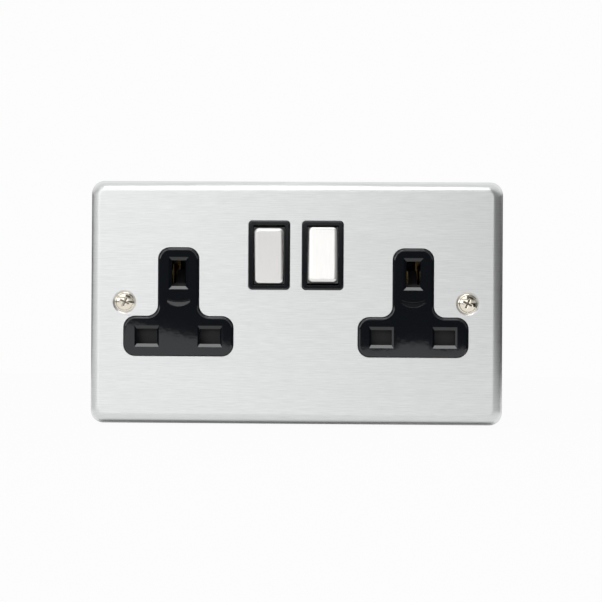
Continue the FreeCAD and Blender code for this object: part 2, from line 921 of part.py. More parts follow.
# Plug shutters: a flat slide with a ramp that the earth pin pushes down, and its return spring.


def make_shutter(side_name, side):
    x = socket_x(side)
    bar = around(x, bar_half)
    stem = around(x, d.shutter_stem / 2)
    corners = [(bar[0], bar_low), (bar[1], bar_low), (bar[1], bar_high), (stem[1], bar_high)]
    corners += [(stem[1], stem_end), (stem[0], stem_end), (stem[0], bar_high), (bar[0], bar_high)]
    name = "shutter_" + side_name
    body = slab(name, corners, shutter_front, shutter_back, [(d.shutter_corner, corners)])
    window = rectangle(around(x, d.spring_window / 2), (window_low, window_high))
    pocket_through(body, polygon(body, name + "_window", "XZ_Plane", window))
    ramp_back = shutter_back + d.ramp_reach
    ramp_side = [
        (shutter_front, window_high),
        (shutter_back, window_high),
        (ramp_back, ramp_foot),
        (ramp_back, ramp_foot + d.shutter_travel),
        (shutter_front, ramp_foot),
    ]
    pad(body, polygon(body, name + "_ramp", "YZ_Plane", ramp_side, x), d.ramp_width, midplane=True)
    node(name, body)
    outside, wire = d.shutter_spring_outside, d.shutter_spring_wire
    pitch, length = d.shutter_spring_pitch, d.shutter_spring_length
    coil = spring("shutter_spring_" + side_name, outside, wire, pitch, length)
    place(coil, (x, (shutter_front + shutter_back) / 2, post_high))
    node("shutter_spring_" + side_name, coil)


# Rockers, drawn about their pivot and then tilted: the left one is on, the right one off.


def stand_at_pivot(thing, side):
    place(thing, (switch_x(side), rocker_pivot, d.switch_height), (1, 0, 0), -side * d.rocker_tilt)


cap_front = -d.pivot_depth - d.rocker_proud
cap_back = cap_front + d.cap_depth
cap_inside = cap_front + d.cap_wall


def make_rocker_cap(side_name, side):
    """The metal cap: a drawn shell."""
    half_w = d.rocker_width / 2
    half_h = d.rocker_height / 2
    name = "rocker_cap_" + side_name
    outline = rectangle((-half_w, half_w), (-half_h, half_h))
    body = slab(name, outline, cap_front, cap_back, [(d.rocker_corner, outline)], d.rocker_edge)
    shell(body, body.Tip, name + "_wall", d.cap_wall, cap_back)
    stand_at_pivot(body, side)
    node(name, body)


def make_rocker_body(side_name, side):
    """The moulded rocker under the cap: a block on two trunnions, with a hollow stalk for the plunger."""
    name = "rocker_body_" + side_name
    half_w = d.rocker_width / 2
    half_h = d.rocker_height / 2
    inset = d.cap_wall + d.cap_fit
    outline = rectangle(around(as_size(0), half_w - inset), around(as_size(0), half_h - inset))
    rounds = [(d.rocker_corner, outline)]
    soft = d.rocker_edge - d.cap_wall + d.cap_fit
    head = slab(name + "_head", outline, cap_inside, cap_back, rounds, soft)
    narrow = half_h - inset - d.rocker_back
    tall = half_h + d.rocker_flange
    side_view = [(cap_back, -tall), (0, -tall), (d.rocker_back, -narrow)]
    side_view += [(d.rocker_back, narrow), (0, tall), (cap_back, tall)]
    skirt = extrusion(name + "_skirt", side_view, d.rocker_width + d.rocker_flange * 2)
    reach = d.surround_open_width / 2 + d.trunnion_bite - d.running_gap
    pins = rod(name + "_trunnions", "X", -reach, reach, d.trunnion / 2, (0, 0))
    outline = rectangle(around(as_size(0), d.stalk_width / 2), around(as_size(0), d.stalk_height / 2))
    stalk = slab(name + "_stalk", outline, 0, d.stalk_end, [(d.stalk_corner, outline)])
    bore_radius = d.plunger / 2 + d.plunger_slide_gap
    bore = rod(name + "_bore", "Y", d.spring_seat, d.stalk_end, bore_radius, (0, 0))
    whole = cut(name, fuse(name + "_solid", [head, skirt, pins, stalk]), [bore])
    stand_at_pivot(whole, side)
    node(name, whole)


def make_plunger(side_name, side):
    """A blunt-nosed pin that its spring pushes out of the stalk."""
    radius = d.plunger / 2
    nose = d.plunger_nose
    profile = [(0, d.plunger_tail), (radius, d.plunger_tail), (radius, d.plunger_end - nose)]
    profile += [(radius - nose * 0.3, d.plunger_end - nose * 0.3), (radius - nose, d.plunger_end)]
    body = turned("plunger_" + side_name, profile + [(0, d.plunger_end)])
    stand_at_pivot(body, side)
    node("plunger_" + side_name, body)
    outside, wire = d.plunger_spring_outside, d.plunger_spring_wire
    length = d.plunger_tail - d.spring_seat
    coil = spring("plunger_spring_" + side_name, outside, wire, d.plunger_spring_pitch, length)
    lean = -side * d.rocker_tilt
    y = rocker_pivot + d.spring_seat * cosine(lean)
    z = d.switch_height + d.spring_seat * sine(lean)
    place(coil, (switch_x(side), y, z), (1, 0, 0), lean - 90)
    node("plunger_spring_" + side_name, coil)


# Switch contacts: a see-saw blade with a silver tip, and the fixed tip that it meets.


def stand_at_fulcrum(thing, side):
    place(thing, (switch_x(side), blade_pivot, d.switch_height), (1, 0, 0), side * d.blade_tilt)


def make_moving_contact(side_name, side):
    half = d.blade_width / 2
    face = d.blade_thickness / 2
    outline = rectangle((-half, half), (-d.blade_down, d.blade_up))
    blade = slab("moving_contact_" + side_name, outline, -face, face, [(d.blade_corner, outline)])
    stand_at_fulcrum(blade, side)
    node("moving_contact_" + side_name, blade)
    level = (face, face + d.moving_tip_height)
    tip = rod("blade_tip_" + side_name, "Y", *level, d.tip / 2, (0, d.tip_reach))
    carried = group("moving_tip_" + side_name, [tip])
    stand_at_fulcrum(carried, side)
    node("moving_tip_" + side_name, carried)


def make_fixed_tips():
    spots = [(switch_x(side), tip_z) for side in SIDES.values()]
    tips = [rod("fixed_tip", "Y", fixed_tip_face, strip_front, d.tip / 2, spot) for spot in spots]
    node("fixed_tips", group("fixed_tips", tips))


# Brass strip work: stamped outlines and folds that carry the pin jaws.


def jaw_profile(mouth, base_front):
    """A U of strip, open to the front, whose leaves neck in to grip a pin and flare at the mouth."""
    neck = d.jaw_gap / 2
    flare = neck + d.jaw_flare
    root = neck + d.jaw_root
    throat = mouth + d.jaw_throat
    base_back = base_front + d.strip
    inside = [(base_front, root), (throat, neck), (mouth, flare)]
    outside = [(mouth, flare + d.strip), (throat, neck + d.strip), (base_back, root + d.strip)]
    upper = inside + outside
    return upper + [(level, -gap) for level, gap in upper[::-1]]


def fold_bends(body, name, base_front, axis, across, corners):
    """Rounds the two folds of a jaw, inside and out."""
    root = d.jaw_gap / 2 + d.jaw_root
    inner = [(base_front, root), (base_front, -root)]
    outer = [(base_front + d.strip, root + d.strip), (base_front + d.strip, -root - d.strip)]
    for i, (radius, spots) in enumerate(((d.strip_bend, inner), (d.strip_bend + d.strip, outer))):
        wanted = standing_at(corners(spots), axis, across)
        round_edges(body, body.Tip, f"{name}_bend_{i}", radius, wanted)


def line_jaw(name, x):
    mouth = seam + d.line_jaw_mouth
    profile = [(level, line_z + gap) for level, gap in jaw_profile(mouth, strip_front)]
    body = extrusion(name, profile, d.line_jaw_width, x)
    fold_bends(body, name, strip_front, "x", "yz", lambda spots: [(a, line_z + b) for a, b in spots])
    return body


def earth_jaw(name, x):
    mouth = seam + d.earth_jaw_mouth
    profile = [(x + gap, level) for level, gap in jaw_profile(mouth, earth_front)]
    body = new_body(name)
    sketch = polygon(body, name + "_plan", "XY_Plane", profile, earth_z)
    pad(body, sketch, d.earth_jaw_width, midplane=True)
    fold_bends(body, name, earth_front, "z", "xy", lambda spots: [(x + b, a) for a, b in spots])
    return body


def stamped(name, points, front=None):
    """Flat strip along a square-cornered middle line, with softened corners."""
    front = strip_front if front is None else front
    outline = ribbon(points, half_strip)
    return slab(name, outline, front, front + d.strip, [(d.strip_corner, outline)])


def make_live_contact_left():
    x = live_x(-1)
    riser = -d.riser_from_centre
    route = [(x, line_z), (riser, line_z), (riser, tip_z), (switch_x(-1) + half_strip, tip_z)]
    parts = [line_jaw("live_jaw_left", x), stamped("live_route_left", route)]
    node("live_contact_left", fuse("live_contact_left", parts))


def make_live_contact_right():
    x = live_x(1)
    riser = as_size(d.riser_from_centre)
    drop = x - d.line_jaw_width / 2 + half_strip
    level = -d.crossover_below
    end = (switch_x(1) - half_strip, tip_z)
    route = [(drop, line_z), (drop, level), (riser, level), (riser, tip_z), end]
    parts = [line_jaw("live_jaw_right", x), stamped("live_route_right", route)]
    node("live_contact_right", fuse("live_contact_right", parts))


def make_live_feed_bar():
    """From the live terminal up to a rounded fulcrum under each blade."""
    x, z, way = TERMINALS["live_terminal"]
    arm = d.blade_width / 2
    level = z + terminal_up + half_strip
    tab_outline = rectangle(around(x, terminal_half), (z - terminal_up, level + half_strip))
    tab = slab("feed_tab", tab_outline, strip_front, strip_back, [(d.strip_corner, tab_outline)])
    riser = stamped("feed_riser", [(x, level), (as_size(0), level), (as_size(0), d.switch_height)])
    ends = [(switch_x(-1) - arm, d.switch_height), (switch_x(1) + arm, d.switch_height)]
    parts = [tab, riser, stamped("feed_arm", ends)]
    crest = blade_pivot + d.blade_thickness / 2 + d.running_gap + d.fulcrum
    for side in SIDES.values():
        limits = around(switch_x(side), arm)
        up = around(d.switch_height, d.fulcrum)
        parts.append(rod("fulcrum", "X", *limits, d.fulcrum, (crest, d.switch_height)))
        parts.append(block("fulcrum_web", limits, (crest, strip_front), up))
    node("live_feed_bar", fuse("live_feed_bar", parts))


def make_neutral_bar():
    """One bar from the neutral terminal to both neutral jaws, run below the live work."""
    left = neutral_x(-1) + d.strip
    right = neutral_x(1)
    level = -d.neutral_below
    route = [(left, line_z), (left, level), (right, level), (right, line_z)]
    parts = [line_jaw("neutral_jaw_left", neutral_x(-1)), line_jaw("neutral_jaw_right", right)]
    parts.append(stamped("neutral_route", route))
    node("neutral_bar", fuse("neutral_bar", parts))


def make_earth_bar():
    """One bar behind the live work, with a jaw and a pierced tab folded to a terminal at each end."""
    run = [(socket_x(-1), earth_z), (socket_x(1), earth_z)]
    parts = [stamped("earth_run", run, earth_front)]
    shelf = d.earth_terminal_above - terminal_up - d.strip * 1.5
    deep = earth_front + d.strip / 2
    shallow = strip_front + d.strip / 2
    fold = [(deep, earth_z + d.earth_window_top), (deep, shelf), (shallow, shelf)]
    fold.append((shallow, d.earth_terminal_above + terminal_up))
    level = (earth_front, earth_back)
    rise = (earth_z, earth_z + d.earth_window_top + d.strip_width / 2)
    pierced = (earth_z + d.strip_width / 2, earth_z + d.earth_window_top)
    windows = []
    for side_name, side in SIDES.items():
        x = socket_x(side)
        parts.append(earth_jaw("earth_jaw_" + side_name, x))
        parts.append(block("earth_rise_" + side_name, around(x, d.earth_rise / 2), level, rise))
        parts.append(extrusion("earth_fold_" + side_name, ribbon(fold, d.strip / 2), d.strap_width, x))
        windows.append(block("earth_window_" + side_name, around(x, d.earth_window / 2), level, pierced))
    node("earth_bar", cut("earth_bar", fuse("earth_bar_blank", parts), windows))


def make_plate_earth_strap():
    """A folded strap from the left earth tab, through the deck, to the back of the plate."""
    level = strap_top - d.strap / 2
    foot = plate_back + d.strap / 2
    fold = [(strip_back, level), (foot, level), (foot, strap_top - d.strap_foot)]
    strap = extrusion("plate_earth_strap", ribbon(fold, d.strap / 2), d.strap_width, socket_x(-1))
    node("plate_earth_strap", strap)


# Terminals: brass blocks with a wire hole, and their clamping screws.


def make_terminal(name):
    x, z, way = TERMINALS[name]
    outline = rectangle(around(x, terminal_half), around(z, terminal_up))
    body = slab(name + "_block", outline, strip_back, terminal_back, [(d.terminal_corner, outline)])
    wire = rod(name + "_wire", "Z", *around(z, terminal_up), d.wire_hole / 2, (x, wire_level))
    bore = d.terminal_screw / 2 + d.running_gap
    thread = rod(name + "_thread", "Y", wire_level, terminal_back, bore, (x, z))
    node(name, cut(name, body, [wire, thread]))


def headed_screw(name, x, z, tip, seat, shank, head, head_height):
    """A slotted cheese-head screw along Y, its head to the back."""
    top = seat + head_height
    soft = d.screw_chamfer
    profile = [(0, tip), (shank - soft, tip), (shank, tip + soft), (shank, seat), (head, seat)]
    profile += [(head, top - soft), (head - soft, top), (0, top)]
    blank = turned(name + "_blank", profile, x, z)
    slot = block(name + "_slot", around(x, head), (top - d.driver_slot, top), around(z, d.driver_slot / 2))
    return cut(name, blank, [slot])


def make_terminal_screws():
    """Clamping screws, backed off so that the wire holes are clear."""
    tip = wire_level + d.wire_hole / 2 + d.running_gap * 2
    seat = terminal_back + d.terminal_stand
    sizes = (tip, seat, d.terminal_screw / 2, d.terminal_head / 2, d.terminal_head_height)
    screws = [headed_screw("clamp_screw", x, z, *sizes) for x, z, way in TERMINALS.values()]
    node("terminal_screws", group("terminal_screws", screws))


def make_module_screws():
    """Self-tapping screws, driven from the back, that close the module."""
    tip = deck_back + d.running_gap
    head = d.module_screw_head / 2
    sizes = (tip, d.module_screw_seat, d.module_screw / 2, head, d.module_screw_head_height)
    screws = [headed_screw("module_screw", x, z, *sizes) for x, z in module_screw_places()]
    node("module_screws", group("module_screws", screws))


def make_fixing_screws():
    """Raised countersunk screws with a cross recess, in the plate's dimples."""
    head = d.fixing_head / 2
    shank = d.fixing_shank / 2
    seat = plate_face + d.dimple_mouth / 2 - head - d.running_gap
    tip = seat + d.fixing_length
    top = seat - d.fixing_dome
    ball = (head * head + d.fixing_dome * d.fixing_dome) / (d.fixing_dome * 2)
    screws = []
    for side_name, side in SIDES.items():
        x = d.fixing_pitch / 2 * side
        name = "fixing_screw_" + side_name
        profile = [(0, seat), (head, seat), (shank, seat + head - shank), (shank, tip - d.fixing_point)]
        stem = turned(name + "_stem", profile + [(shank - d.fixing_point, tip), (0, tip)], x)
        dome = doc.addObject("Part::Sphere", name + "_dome")
        bind(dome, "Radius", ball)
        bind(dome, "Angle1", arc_cosine(head / ball))
        place(dome, (x, top + ball, 0), (1, 0, 0), 90)
        level = (top, top + d.recess_depth)
        span = d.recess_span / 2
        thin = d.recess_width / 2
        middle = as_size(0)
        lean = (d.recess_taper, d.recess_taper)
        arms = [
            tapered(name + "_arm_across", around(middle, span), level, around(middle, thin), *lean),
            tapered(name + "_arm_up", around(middle, thin), level, around(middle, span), *lean),
        ]
        recess = fuse(name + "_recess", arms)
        place(recess, (x, 0, 0), (0, 1, 0), d.recess_turn)
        screws.append(cut(name, fuse(name + "_blank", [stem, dome]), [recess]))
    node("fixing_screws", group("fixing_screws", screws))


# Studs welded to the plate's back, and their nuts.


def make_plate_studs():
    level = (plate_back, plate_back + d.stud_length)
    studs = [rod("plate_stud", "Y", *level, d.stud / 2, spot) for spot in stud_places()]
    node("plate_studs", group("plate_studs", studs))


def make_plate_nuts():
    level = (deck_back, deck_back + d.nut_height)
    nuts = []
    for x, z in stud_places():
        hexagon = doc.addObject("Part::Prism", "plate_nut_blank")
        hexagon.Polygon = 6
        bind(hexagon, "Circumradius", d.nut_across_flats / 2 / cosine(as_size(30)))
        bind(hexagon, "Height", d.nut_height)
        place(hexagon, (x, deck_back, z), (1, 0, 0), -90)
        thread = rod("plate_nut_thread", "Y", *level, d.stud / 2 + d.running_gap, (x, z))
        nuts.append(cut("plate_nut", hexagon, [thread]))
    node("plate_nuts", group("plate_nuts", nuts))


def build():
    make_front_plate()
    make_front_moulding()
    make_rear_housing()
    for side_name, side in SIDES.items():
        make_shutter(side_name, side)
        make_rocker_cap(side_name, side)
        make_rocker_body(side_name, side)
        make_plunger(side_name, side)
        make_moving_contact(side_name, side)
    make_fixed_tips()
    make_live_contact_left()
    make_live_contact_right()
    make_live_feed_bar()
    make_neutral_bar()
    make_earth_bar()
    make_plate_earth_strap()
    for name in TERMINALS:
        make_terminal(name)
    make_terminal_screws()
    make_module_screws()
    make_fixing_screws()
    make_plate_studs()
    make_plate_nuts()


def check_and_write():
    doc.recompute()
    for thing in doc.Objects:
        if "Invalid" in thing.State or "Error" in thing.State:
            raise RuntimeError(f"{thing.Label} failed: {thing.State}")
    for thing in nodes:
        if thing.Shape.isNull() or not thing.Shape.isValid():
            raise RuntimeError(f"{thing.Label} has no valid shape")
    os.makedirs("parts", exist_ok=True)
    for thing in nodes:
        thing.Shape.exportStep(f"parts/{thing.Label}.step")
        print(f"{thing.Label}: {len(thing.Shape.Solids)} solids, {thing.Shape.Volume:.1f} mm3")


build()
check_and_write()
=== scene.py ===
import bpy
import math
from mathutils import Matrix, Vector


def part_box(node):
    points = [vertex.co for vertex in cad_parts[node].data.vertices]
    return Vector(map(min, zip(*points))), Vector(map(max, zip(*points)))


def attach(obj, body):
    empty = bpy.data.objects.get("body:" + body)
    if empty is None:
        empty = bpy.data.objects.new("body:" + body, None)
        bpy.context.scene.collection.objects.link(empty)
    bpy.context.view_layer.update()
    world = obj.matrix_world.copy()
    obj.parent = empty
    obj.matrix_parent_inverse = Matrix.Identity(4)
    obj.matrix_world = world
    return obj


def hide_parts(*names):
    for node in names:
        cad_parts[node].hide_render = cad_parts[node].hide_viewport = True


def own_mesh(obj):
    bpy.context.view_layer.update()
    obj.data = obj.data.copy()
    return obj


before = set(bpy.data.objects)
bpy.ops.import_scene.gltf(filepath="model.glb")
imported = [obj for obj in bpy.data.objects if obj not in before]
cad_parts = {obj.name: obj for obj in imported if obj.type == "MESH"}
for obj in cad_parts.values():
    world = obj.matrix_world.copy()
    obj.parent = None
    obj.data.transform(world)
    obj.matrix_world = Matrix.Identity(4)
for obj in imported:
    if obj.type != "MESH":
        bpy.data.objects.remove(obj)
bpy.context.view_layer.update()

# Rear housing: the tray behind the wall that carries the brass work and closes the outlet's back.
# It is compression moulded in a filled thermoset, off a spark-eroded tool, and four screws hold it
# to the front moulding.

MM = 0.001


def linear(shade):
    """An sRGB hex colour as linear red, green, blue and alpha."""
    parts = [int(shade[i:i + 2], 16) / 255 for i in (1, 3, 5)]
    return [p / 12.92 if p <= 0.04045 else ((p + 0.055) / 1.055) ** 2.4 for p in parts] + [1]


def add(tree, kind, settings=None, links=None):
    """Adds a node. Settings name an input or a property, and links name an input."""
    made = tree.nodes.new(kind)
    for name, value in (settings or {}).items():
        if isinstance(name, int) or name in made.inputs:
            made.inputs[name].default_value = value
        else:
            setattr(made, name, value)
    for name, output in (links or {}).items():
        tree.links.new(output, made.inputs[name])
    return made


def blank_material(name):
    """An empty material, its node tree and its Object coordinates."""
    material = bpy.data.materials.new(name)
    material.use_nodes = True
    tree = material.node_tree
    tree.nodes.clear()
    place = add(tree, "ShaderNodeTexCoord").outputs["Object"]
    return material, tree, place


def dress(material, *names):
    """Gives CAD nodes a finish."""
    for name in names:
        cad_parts[name].material_slots[0].material = material


# A spark-eroded tool leaves a fine, even pitted grain, so the black is matt and slightly broken up.
# The grain is really about 0.1 mm and is drawn at 0.4 mm, or it would not show.
PIT, PIT_DEPTH, PATCH, HOUSING_EDGE = 0.4 * MM, 0.03 * MM, 14 * MM, 0.25 * MM
eroded_thermoset, tree, place = blank_material("eroded_thermoset")
grain = add(
    tree,
    "ShaderNodeTexNoise",
    {"Scale": 1 / PIT, "Detail": 3, "Roughness": 0.6},
    {"Vector": place},
)
patch = add(tree, "ShaderNodeTexNoise", {"Scale": 1 / PATCH, "Detail": 2}, {"Vector": place})
tone = add(
    tree,
    "ShaderNodeMixRGB",
    {"Color1": linear("#1A1B1D"), "Color2": linear("#292A2C")},
    {"Fac": patch.outputs["Fac"]},
)
sheen = add(
    tree,
    "ShaderNodeMapRange",
    {"From Min": 0.3, "From Max": 0.7, "To Min": 0.46, "To Max": 0.66},
    {"Value": grain.outputs["Fac"]},
)
edge = add(tree, "ShaderNodeBevel", {"samples": 4, "Radius": HOUSING_EDGE})
pits = add(
    tree,
    "ShaderNodeBump",
    {"Strength": 0.25, "Distance": PIT_DEPTH},
    {"Height": grain.outputs["Fac"], "Normal": edge.outputs["Normal"]},
)
shader = add(
    tree,
    "ShaderNodeBsdfPrincipled",
    {"IOR": 1.52},
    {
        "Base Color": tone.outputs["Color"],
        "Roughness": sheen.outputs["Result"],
        "Normal": pits.outputs["Normal"],
    },
)
add(tree, "ShaderNodeOutputMaterial", {}, {"Surface": shader.outputs["BSDF"]})
dress(eroded_thermoset, "rear_housing")

# Brass strip work: bars stamped from half-hard strip and folded into jaws for the plug's pins, with
# the see-saw blades of the switches. Each lies on posts of the housing and is held by its terminal.

# Rolling leaves faint lines along the strip, and handling a slightly darker, browner bloom. The lines
# are drawn at 0.3 mm, coarser than real, or they would not show.
ROLL_LINE, ROLL_LINE_DEPTH, BLOOM = (9 * MM, 1.2 * MM, 0.3 * MM), 0.01 * MM, 6 * MM
rolled_brass, tree, place = blank_material("rolled_brass")
stretch = add(tree, "ShaderNodeMapping", {"Scale": [1 / size for size in ROLL_LINE]}, {"Vector": place})
lines = add(tree, "ShaderNodeTexNoise", {"Scale": 1, "Detail": 3}, {"Vector": stretch.outputs["Vector"]})
bloom = add(tree, "ShaderNodeTexNoise", {"Scale": 1 / BLOOM, "Detail": 3}, {"Vector": place})
tone = add(
    tree,
    "ShaderNodeMixRGB",
    {"Color1": linear("#AC935F"), "Color2": linear("#866D43")},
    {"Fac": bloom.outputs["Fac"]},
)
sheen = add(
    tree,
    "ShaderNodeMapRange",
    {"From Min": 0.25, "From Max": 0.75, "To Min": 0.22, "To Max": 0.4},
    {"Value": lines.outputs["Fac"]},
)
scratch = add(
    tree,
    "ShaderNodeBump",
    {"Strength": 0.15, "Distance": ROLL_LINE_DEPTH},
    {"Height": lines.outputs["Fac"]},
)
shader = add(
    tree,
    "ShaderNodeBsdfPrincipled",
    {"Metallic": 1},
    {
        "Base Color": tone.outputs["Color"],
        "Roughness": sheen.outputs["Result"],
        "Normal": scratch.outputs["Normal"],
    },
)
add(tree, "ShaderNodeOutputMaterial", {}, {"Surface": shader.outputs["BSDF"]})
dress(rolled_brass, "live_contact_left", "live_contact_right", "live_feed_bar", "neutral_bar", "earth_bar")
dress(rolled_brass, "plate_earth_strap", "moving_contact_left", "moving_contact_right")

# Terminals: blocks sawn from extruded brass bar, drilled for the wires and tapped for a clamping
# screw. They stand in wells of the housing, on the ends of the strips.

# Bar stock is brighter than the strip, with straight tool marks. They are drawn at 0.3 mm, coarser than
# real, or they would not show.
SAW_MARK, SAW_MARK_DEPTH, SAWN_EDGE = (0.3 * MM, 4 * MM, 0.3 * MM), 0.01 * MM, 0.2 * MM
sawn_brass, tree, place = blank_material("sawn_brass")
stretch = add(tree, "ShaderNodeMapping", {"Scale": [1 / size for size in SAW_MARK]}, {"Vector": place})
marks = add(tree, "ShaderNodeTexNoise", {"Scale": 1, "Detail": 2}, {"Vector": stretch.outputs["Vector"]})
tone = add(
    tree,
    "ShaderNodeMixRGB",
    {"Color1": linear("#E0C173"), "Color2": linear("#C6A055")},
    {"Fac": marks.outputs["Fac"]},
)
edge = add(tree, "ShaderNodeBevel", {"samples": 4, "Radius": SAWN_EDGE})
ridges = add(
    tree,
    "ShaderNodeBump",
    {"Strength": 0.2, "Distance": SAW_MARK_DEPTH},
    {"Height": marks.outputs["Fac"], "Normal": edge.outputs["Normal"]},
)
shader = add(
    tree,
    "ShaderNodeBsdfPrincipled",
    {"Metallic": 1, "Roughness": 0.3},
    {"Base Color": tone.outputs["Color"], "Normal": ridges.outputs["Normal"]},
)
add(tree, "ShaderNodeOutputMaterial", {}, {"Surface": shader.outputs["BSDF"]})
dress(sawn_brass, "live_terminal", "neutral_terminal", "earth_terminal_left", "earth_terminal_right")

# Small steel fasteners: clamping screws, the self-tapping screws that close the housing, and the
# plate's studs and nuts. All are mild steel, cold formed and barrel plated in zinc.

# Passivated zinc is a pale grey with a yellow cast that changes from place to place, and a soft gloss.
CAST, PLATED_EDGE = 2 * MM, 0.12 * MM
passivated_zinc, tree, place = blank_material("passivated_zinc")
cast = add(tree, "ShaderNodeTexNoise", {"Scale": 1 / CAST, "Detail": 3}, {"Vector": place})
tone = add(
    tree,
    "ShaderNodeMixRGB",
    {"Color1": linear("#D8D6CE"), "Color2": linear("#C9BC92")},
    {"Fac": cast.outputs["Fac"]},
)
sheen = add(
    tree,
    "ShaderNodeMapRange",
    {"From Min": 0.3, "From Max": 0.7, "To Min": 0.22, "To Max": 0.38},
    {"Value": cast.outputs["Fac"]},
)
edge = add(tree, "ShaderNodeBevel", {"samples": 4, "Radius": PLATED_EDGE})
shader = add(
    tree,
    "ShaderNodeBsdfPrincipled",
    {"Metallic": 1},
    {
        "Base Color": tone.outputs["Color"],
        "Roughness": sheen.outputs["Result"],
        "Normal": edge.outputs["Normal"],
    },
)
add(tree, "ShaderNodeOutputMaterial", {}, {"Surface": shader.outputs["BSDF"]})
dress(passivated_zinc, "terminal_screws", "module_screws", "plate_studs", "plate_nuts")

# Contact tips: discs of silver alloy that meet when a switch is on. They are headed from wire, and
# riveted to the blades and to the live strips.

# Silver tarnishes unevenly to a warm grey where the tips don't rub.
TARNISH = 1.2 * MM
contact_silver, tree, place = blank_material("contact_silver")
tarnish = add(tree, "ShaderNodeTexNoise", {"Scale": 1 / TARNISH, "Detail": 4}, {"Vector": place})
tone = add(
    tree,
    "ShaderNodeMixRGB",
    {"Color1": linear("#EFEEE9"), "Color2": linear("#BDB7AA")},
    {"Fac": tarnish.outputs["Fac"]},
)
shader = add(
    tree,
    "ShaderNodeBsdfPrincipled",
    {"Metallic": 1, "Roughness": 0.25},
    {"Base Color": tone.outputs["Color"]},
)
add(tree, "ShaderNodeOutputMaterial", {}, {"Surface": shader.outputs["BSDF"]})
dress(contact_silver, "fixed_tips", "moving_tip_left", "moving_tip_right")

# Springs: music wire coiled cold. One pushes each shutter closed, from a post of the front moulding,
# and one pushes each plunger out of its rocker's stalk.

# Drawn wire is a bright blue-grey under a thin, uneven film of oil.
OIL_FILM = 0.8 * MM
music_wire, tree, place = blank_material("music_wire")
film = add(tree, "ShaderNodeTexNoise", {"Scale": 1 / OIL_FILM, "Detail": 2}, {"Vector": place})
tone = add(
    tree,
    "ShaderNodeMixRGB",
    {"Color1": linear("#B4B7BC"), "Color2": linear("#8D9096")},
    {"Fac": film.outputs["Fac"]},
)
shader = add(
    tree,
    "ShaderNodeBsdfPrincipled",
    {"Metallic": 1, "Roughness": 0.28},
    {"Base Color": tone.outputs["Color"]},
)
add(tree, "ShaderNodeOutputMaterial", {}, {"Surface": shader.outputs["BSDF"]})


def hold(piece):
    """Makes a piece the only one selected, and the active one."""
    bpy.ops.object.select_all(action="DESELECT")
    bpy.context.view_layer.objects.active = piece
    piece.select_set(True)


def settle():
    """Puts the place, turn and size of the piece in hand into its mesh."""
    bpy.ops.object.transform_apply(location=True, rotation=True, scale=True)


def pick(piece, kind, wanted):
    """Opens a piece for editing, with the vertices, edges or faces selected that wanted accepts."""
    hold(piece)
    bpy.ops.object.mode_set(mode="EDIT")
    bpy.ops.mesh.select_all(action="DESELECT")
    bpy.ops.object.mode_set(mode="OBJECT")
    points = [v.co for v in piece.data.vertices]
    for item in getattr(piece.data, kind):
        corners = [points[item.index]] if kind == "vertices" else [points[i] for i in item.vertices]
        item.select = wanted(corners)
    modes = {"vertices": "VERT", "edges": "EDGE", "polygons": "FACE"}
    bpy.ops.object.mode_set(mode="EDIT")
    bpy.ops.mesh.select_mode(type=modes[kind])


def close_edit():
    bpy.ops.object.mode_set(mode="OBJECT")


def apply_modifier(piece, kind, **settings):
    hold(piece)
    made = piece.modifiers.new(kind.lower(), kind)
    for name, value in settings.items():
        setattr(made, name, value)
    bpy.ops.object.modifier_apply(modifier=made.name)


def smooth(piece, angle=35):
    """Shades by angle, with flat faces kept flat up to their rounded edges."""
    hold(piece)
    bpy.ops.object.shade_smooth_by_angle(angle=math.radians(angle))
    apply_modifier(piece, "WEIGHTED_NORMAL", weight=100, keep_sharp=True)


WIRE, WIRE_SIDES, COIL_STEPS = 0.3 * MM, 8, 16


def wind(name, outside, turns, length):
    """A coil that stands on the origin along Z, one wire section carried round it."""
    bpy.ops.object.select_all(action="DESELECT")
    bpy.ops.mesh.primitive_circle_add(
        vertices=WIRE_SIDES,
        radius=WIRE / 2,
        location=((outside - WIRE) / 2, 0, WIRE / 2),
        rotation=(math.radians(90), 0, 0),
    )
    coil = bpy.context.object
    coil.name = name
    settle()
    apply_modifier(
        coil,
        "SCREW",
        axis="Z",
        screw_offset=(length - WIRE) / turns,
        iterations=turns,
        steps=COIL_STEPS,
        render_steps=COIL_STEPS,
    )
    pick(coil, "edges", lambda c: True)
    bpy.ops.mesh.fill_holes(sides=WIRE_SIDES)
    bpy.ops.mesh.normals_make_consistent(inside=False)
    close_edit()
    return coil


# The middles of the sockets and switches, and how many degrees a rocker leans to either side at rest.
SIDES = (("left", -1), ("right", 1))
SOCKET_X, SWITCH_X, SWITCH_Z, TRUNNION_Y, ROCKER_LEAN = 41.2 * MM, 9.4 * MM, 16.7 * MM, -4.5 * MM, 6
POST_Y, POST_Z, STALK_SEAT = -1.1 * MM, -6.05 * MM, 1 * MM

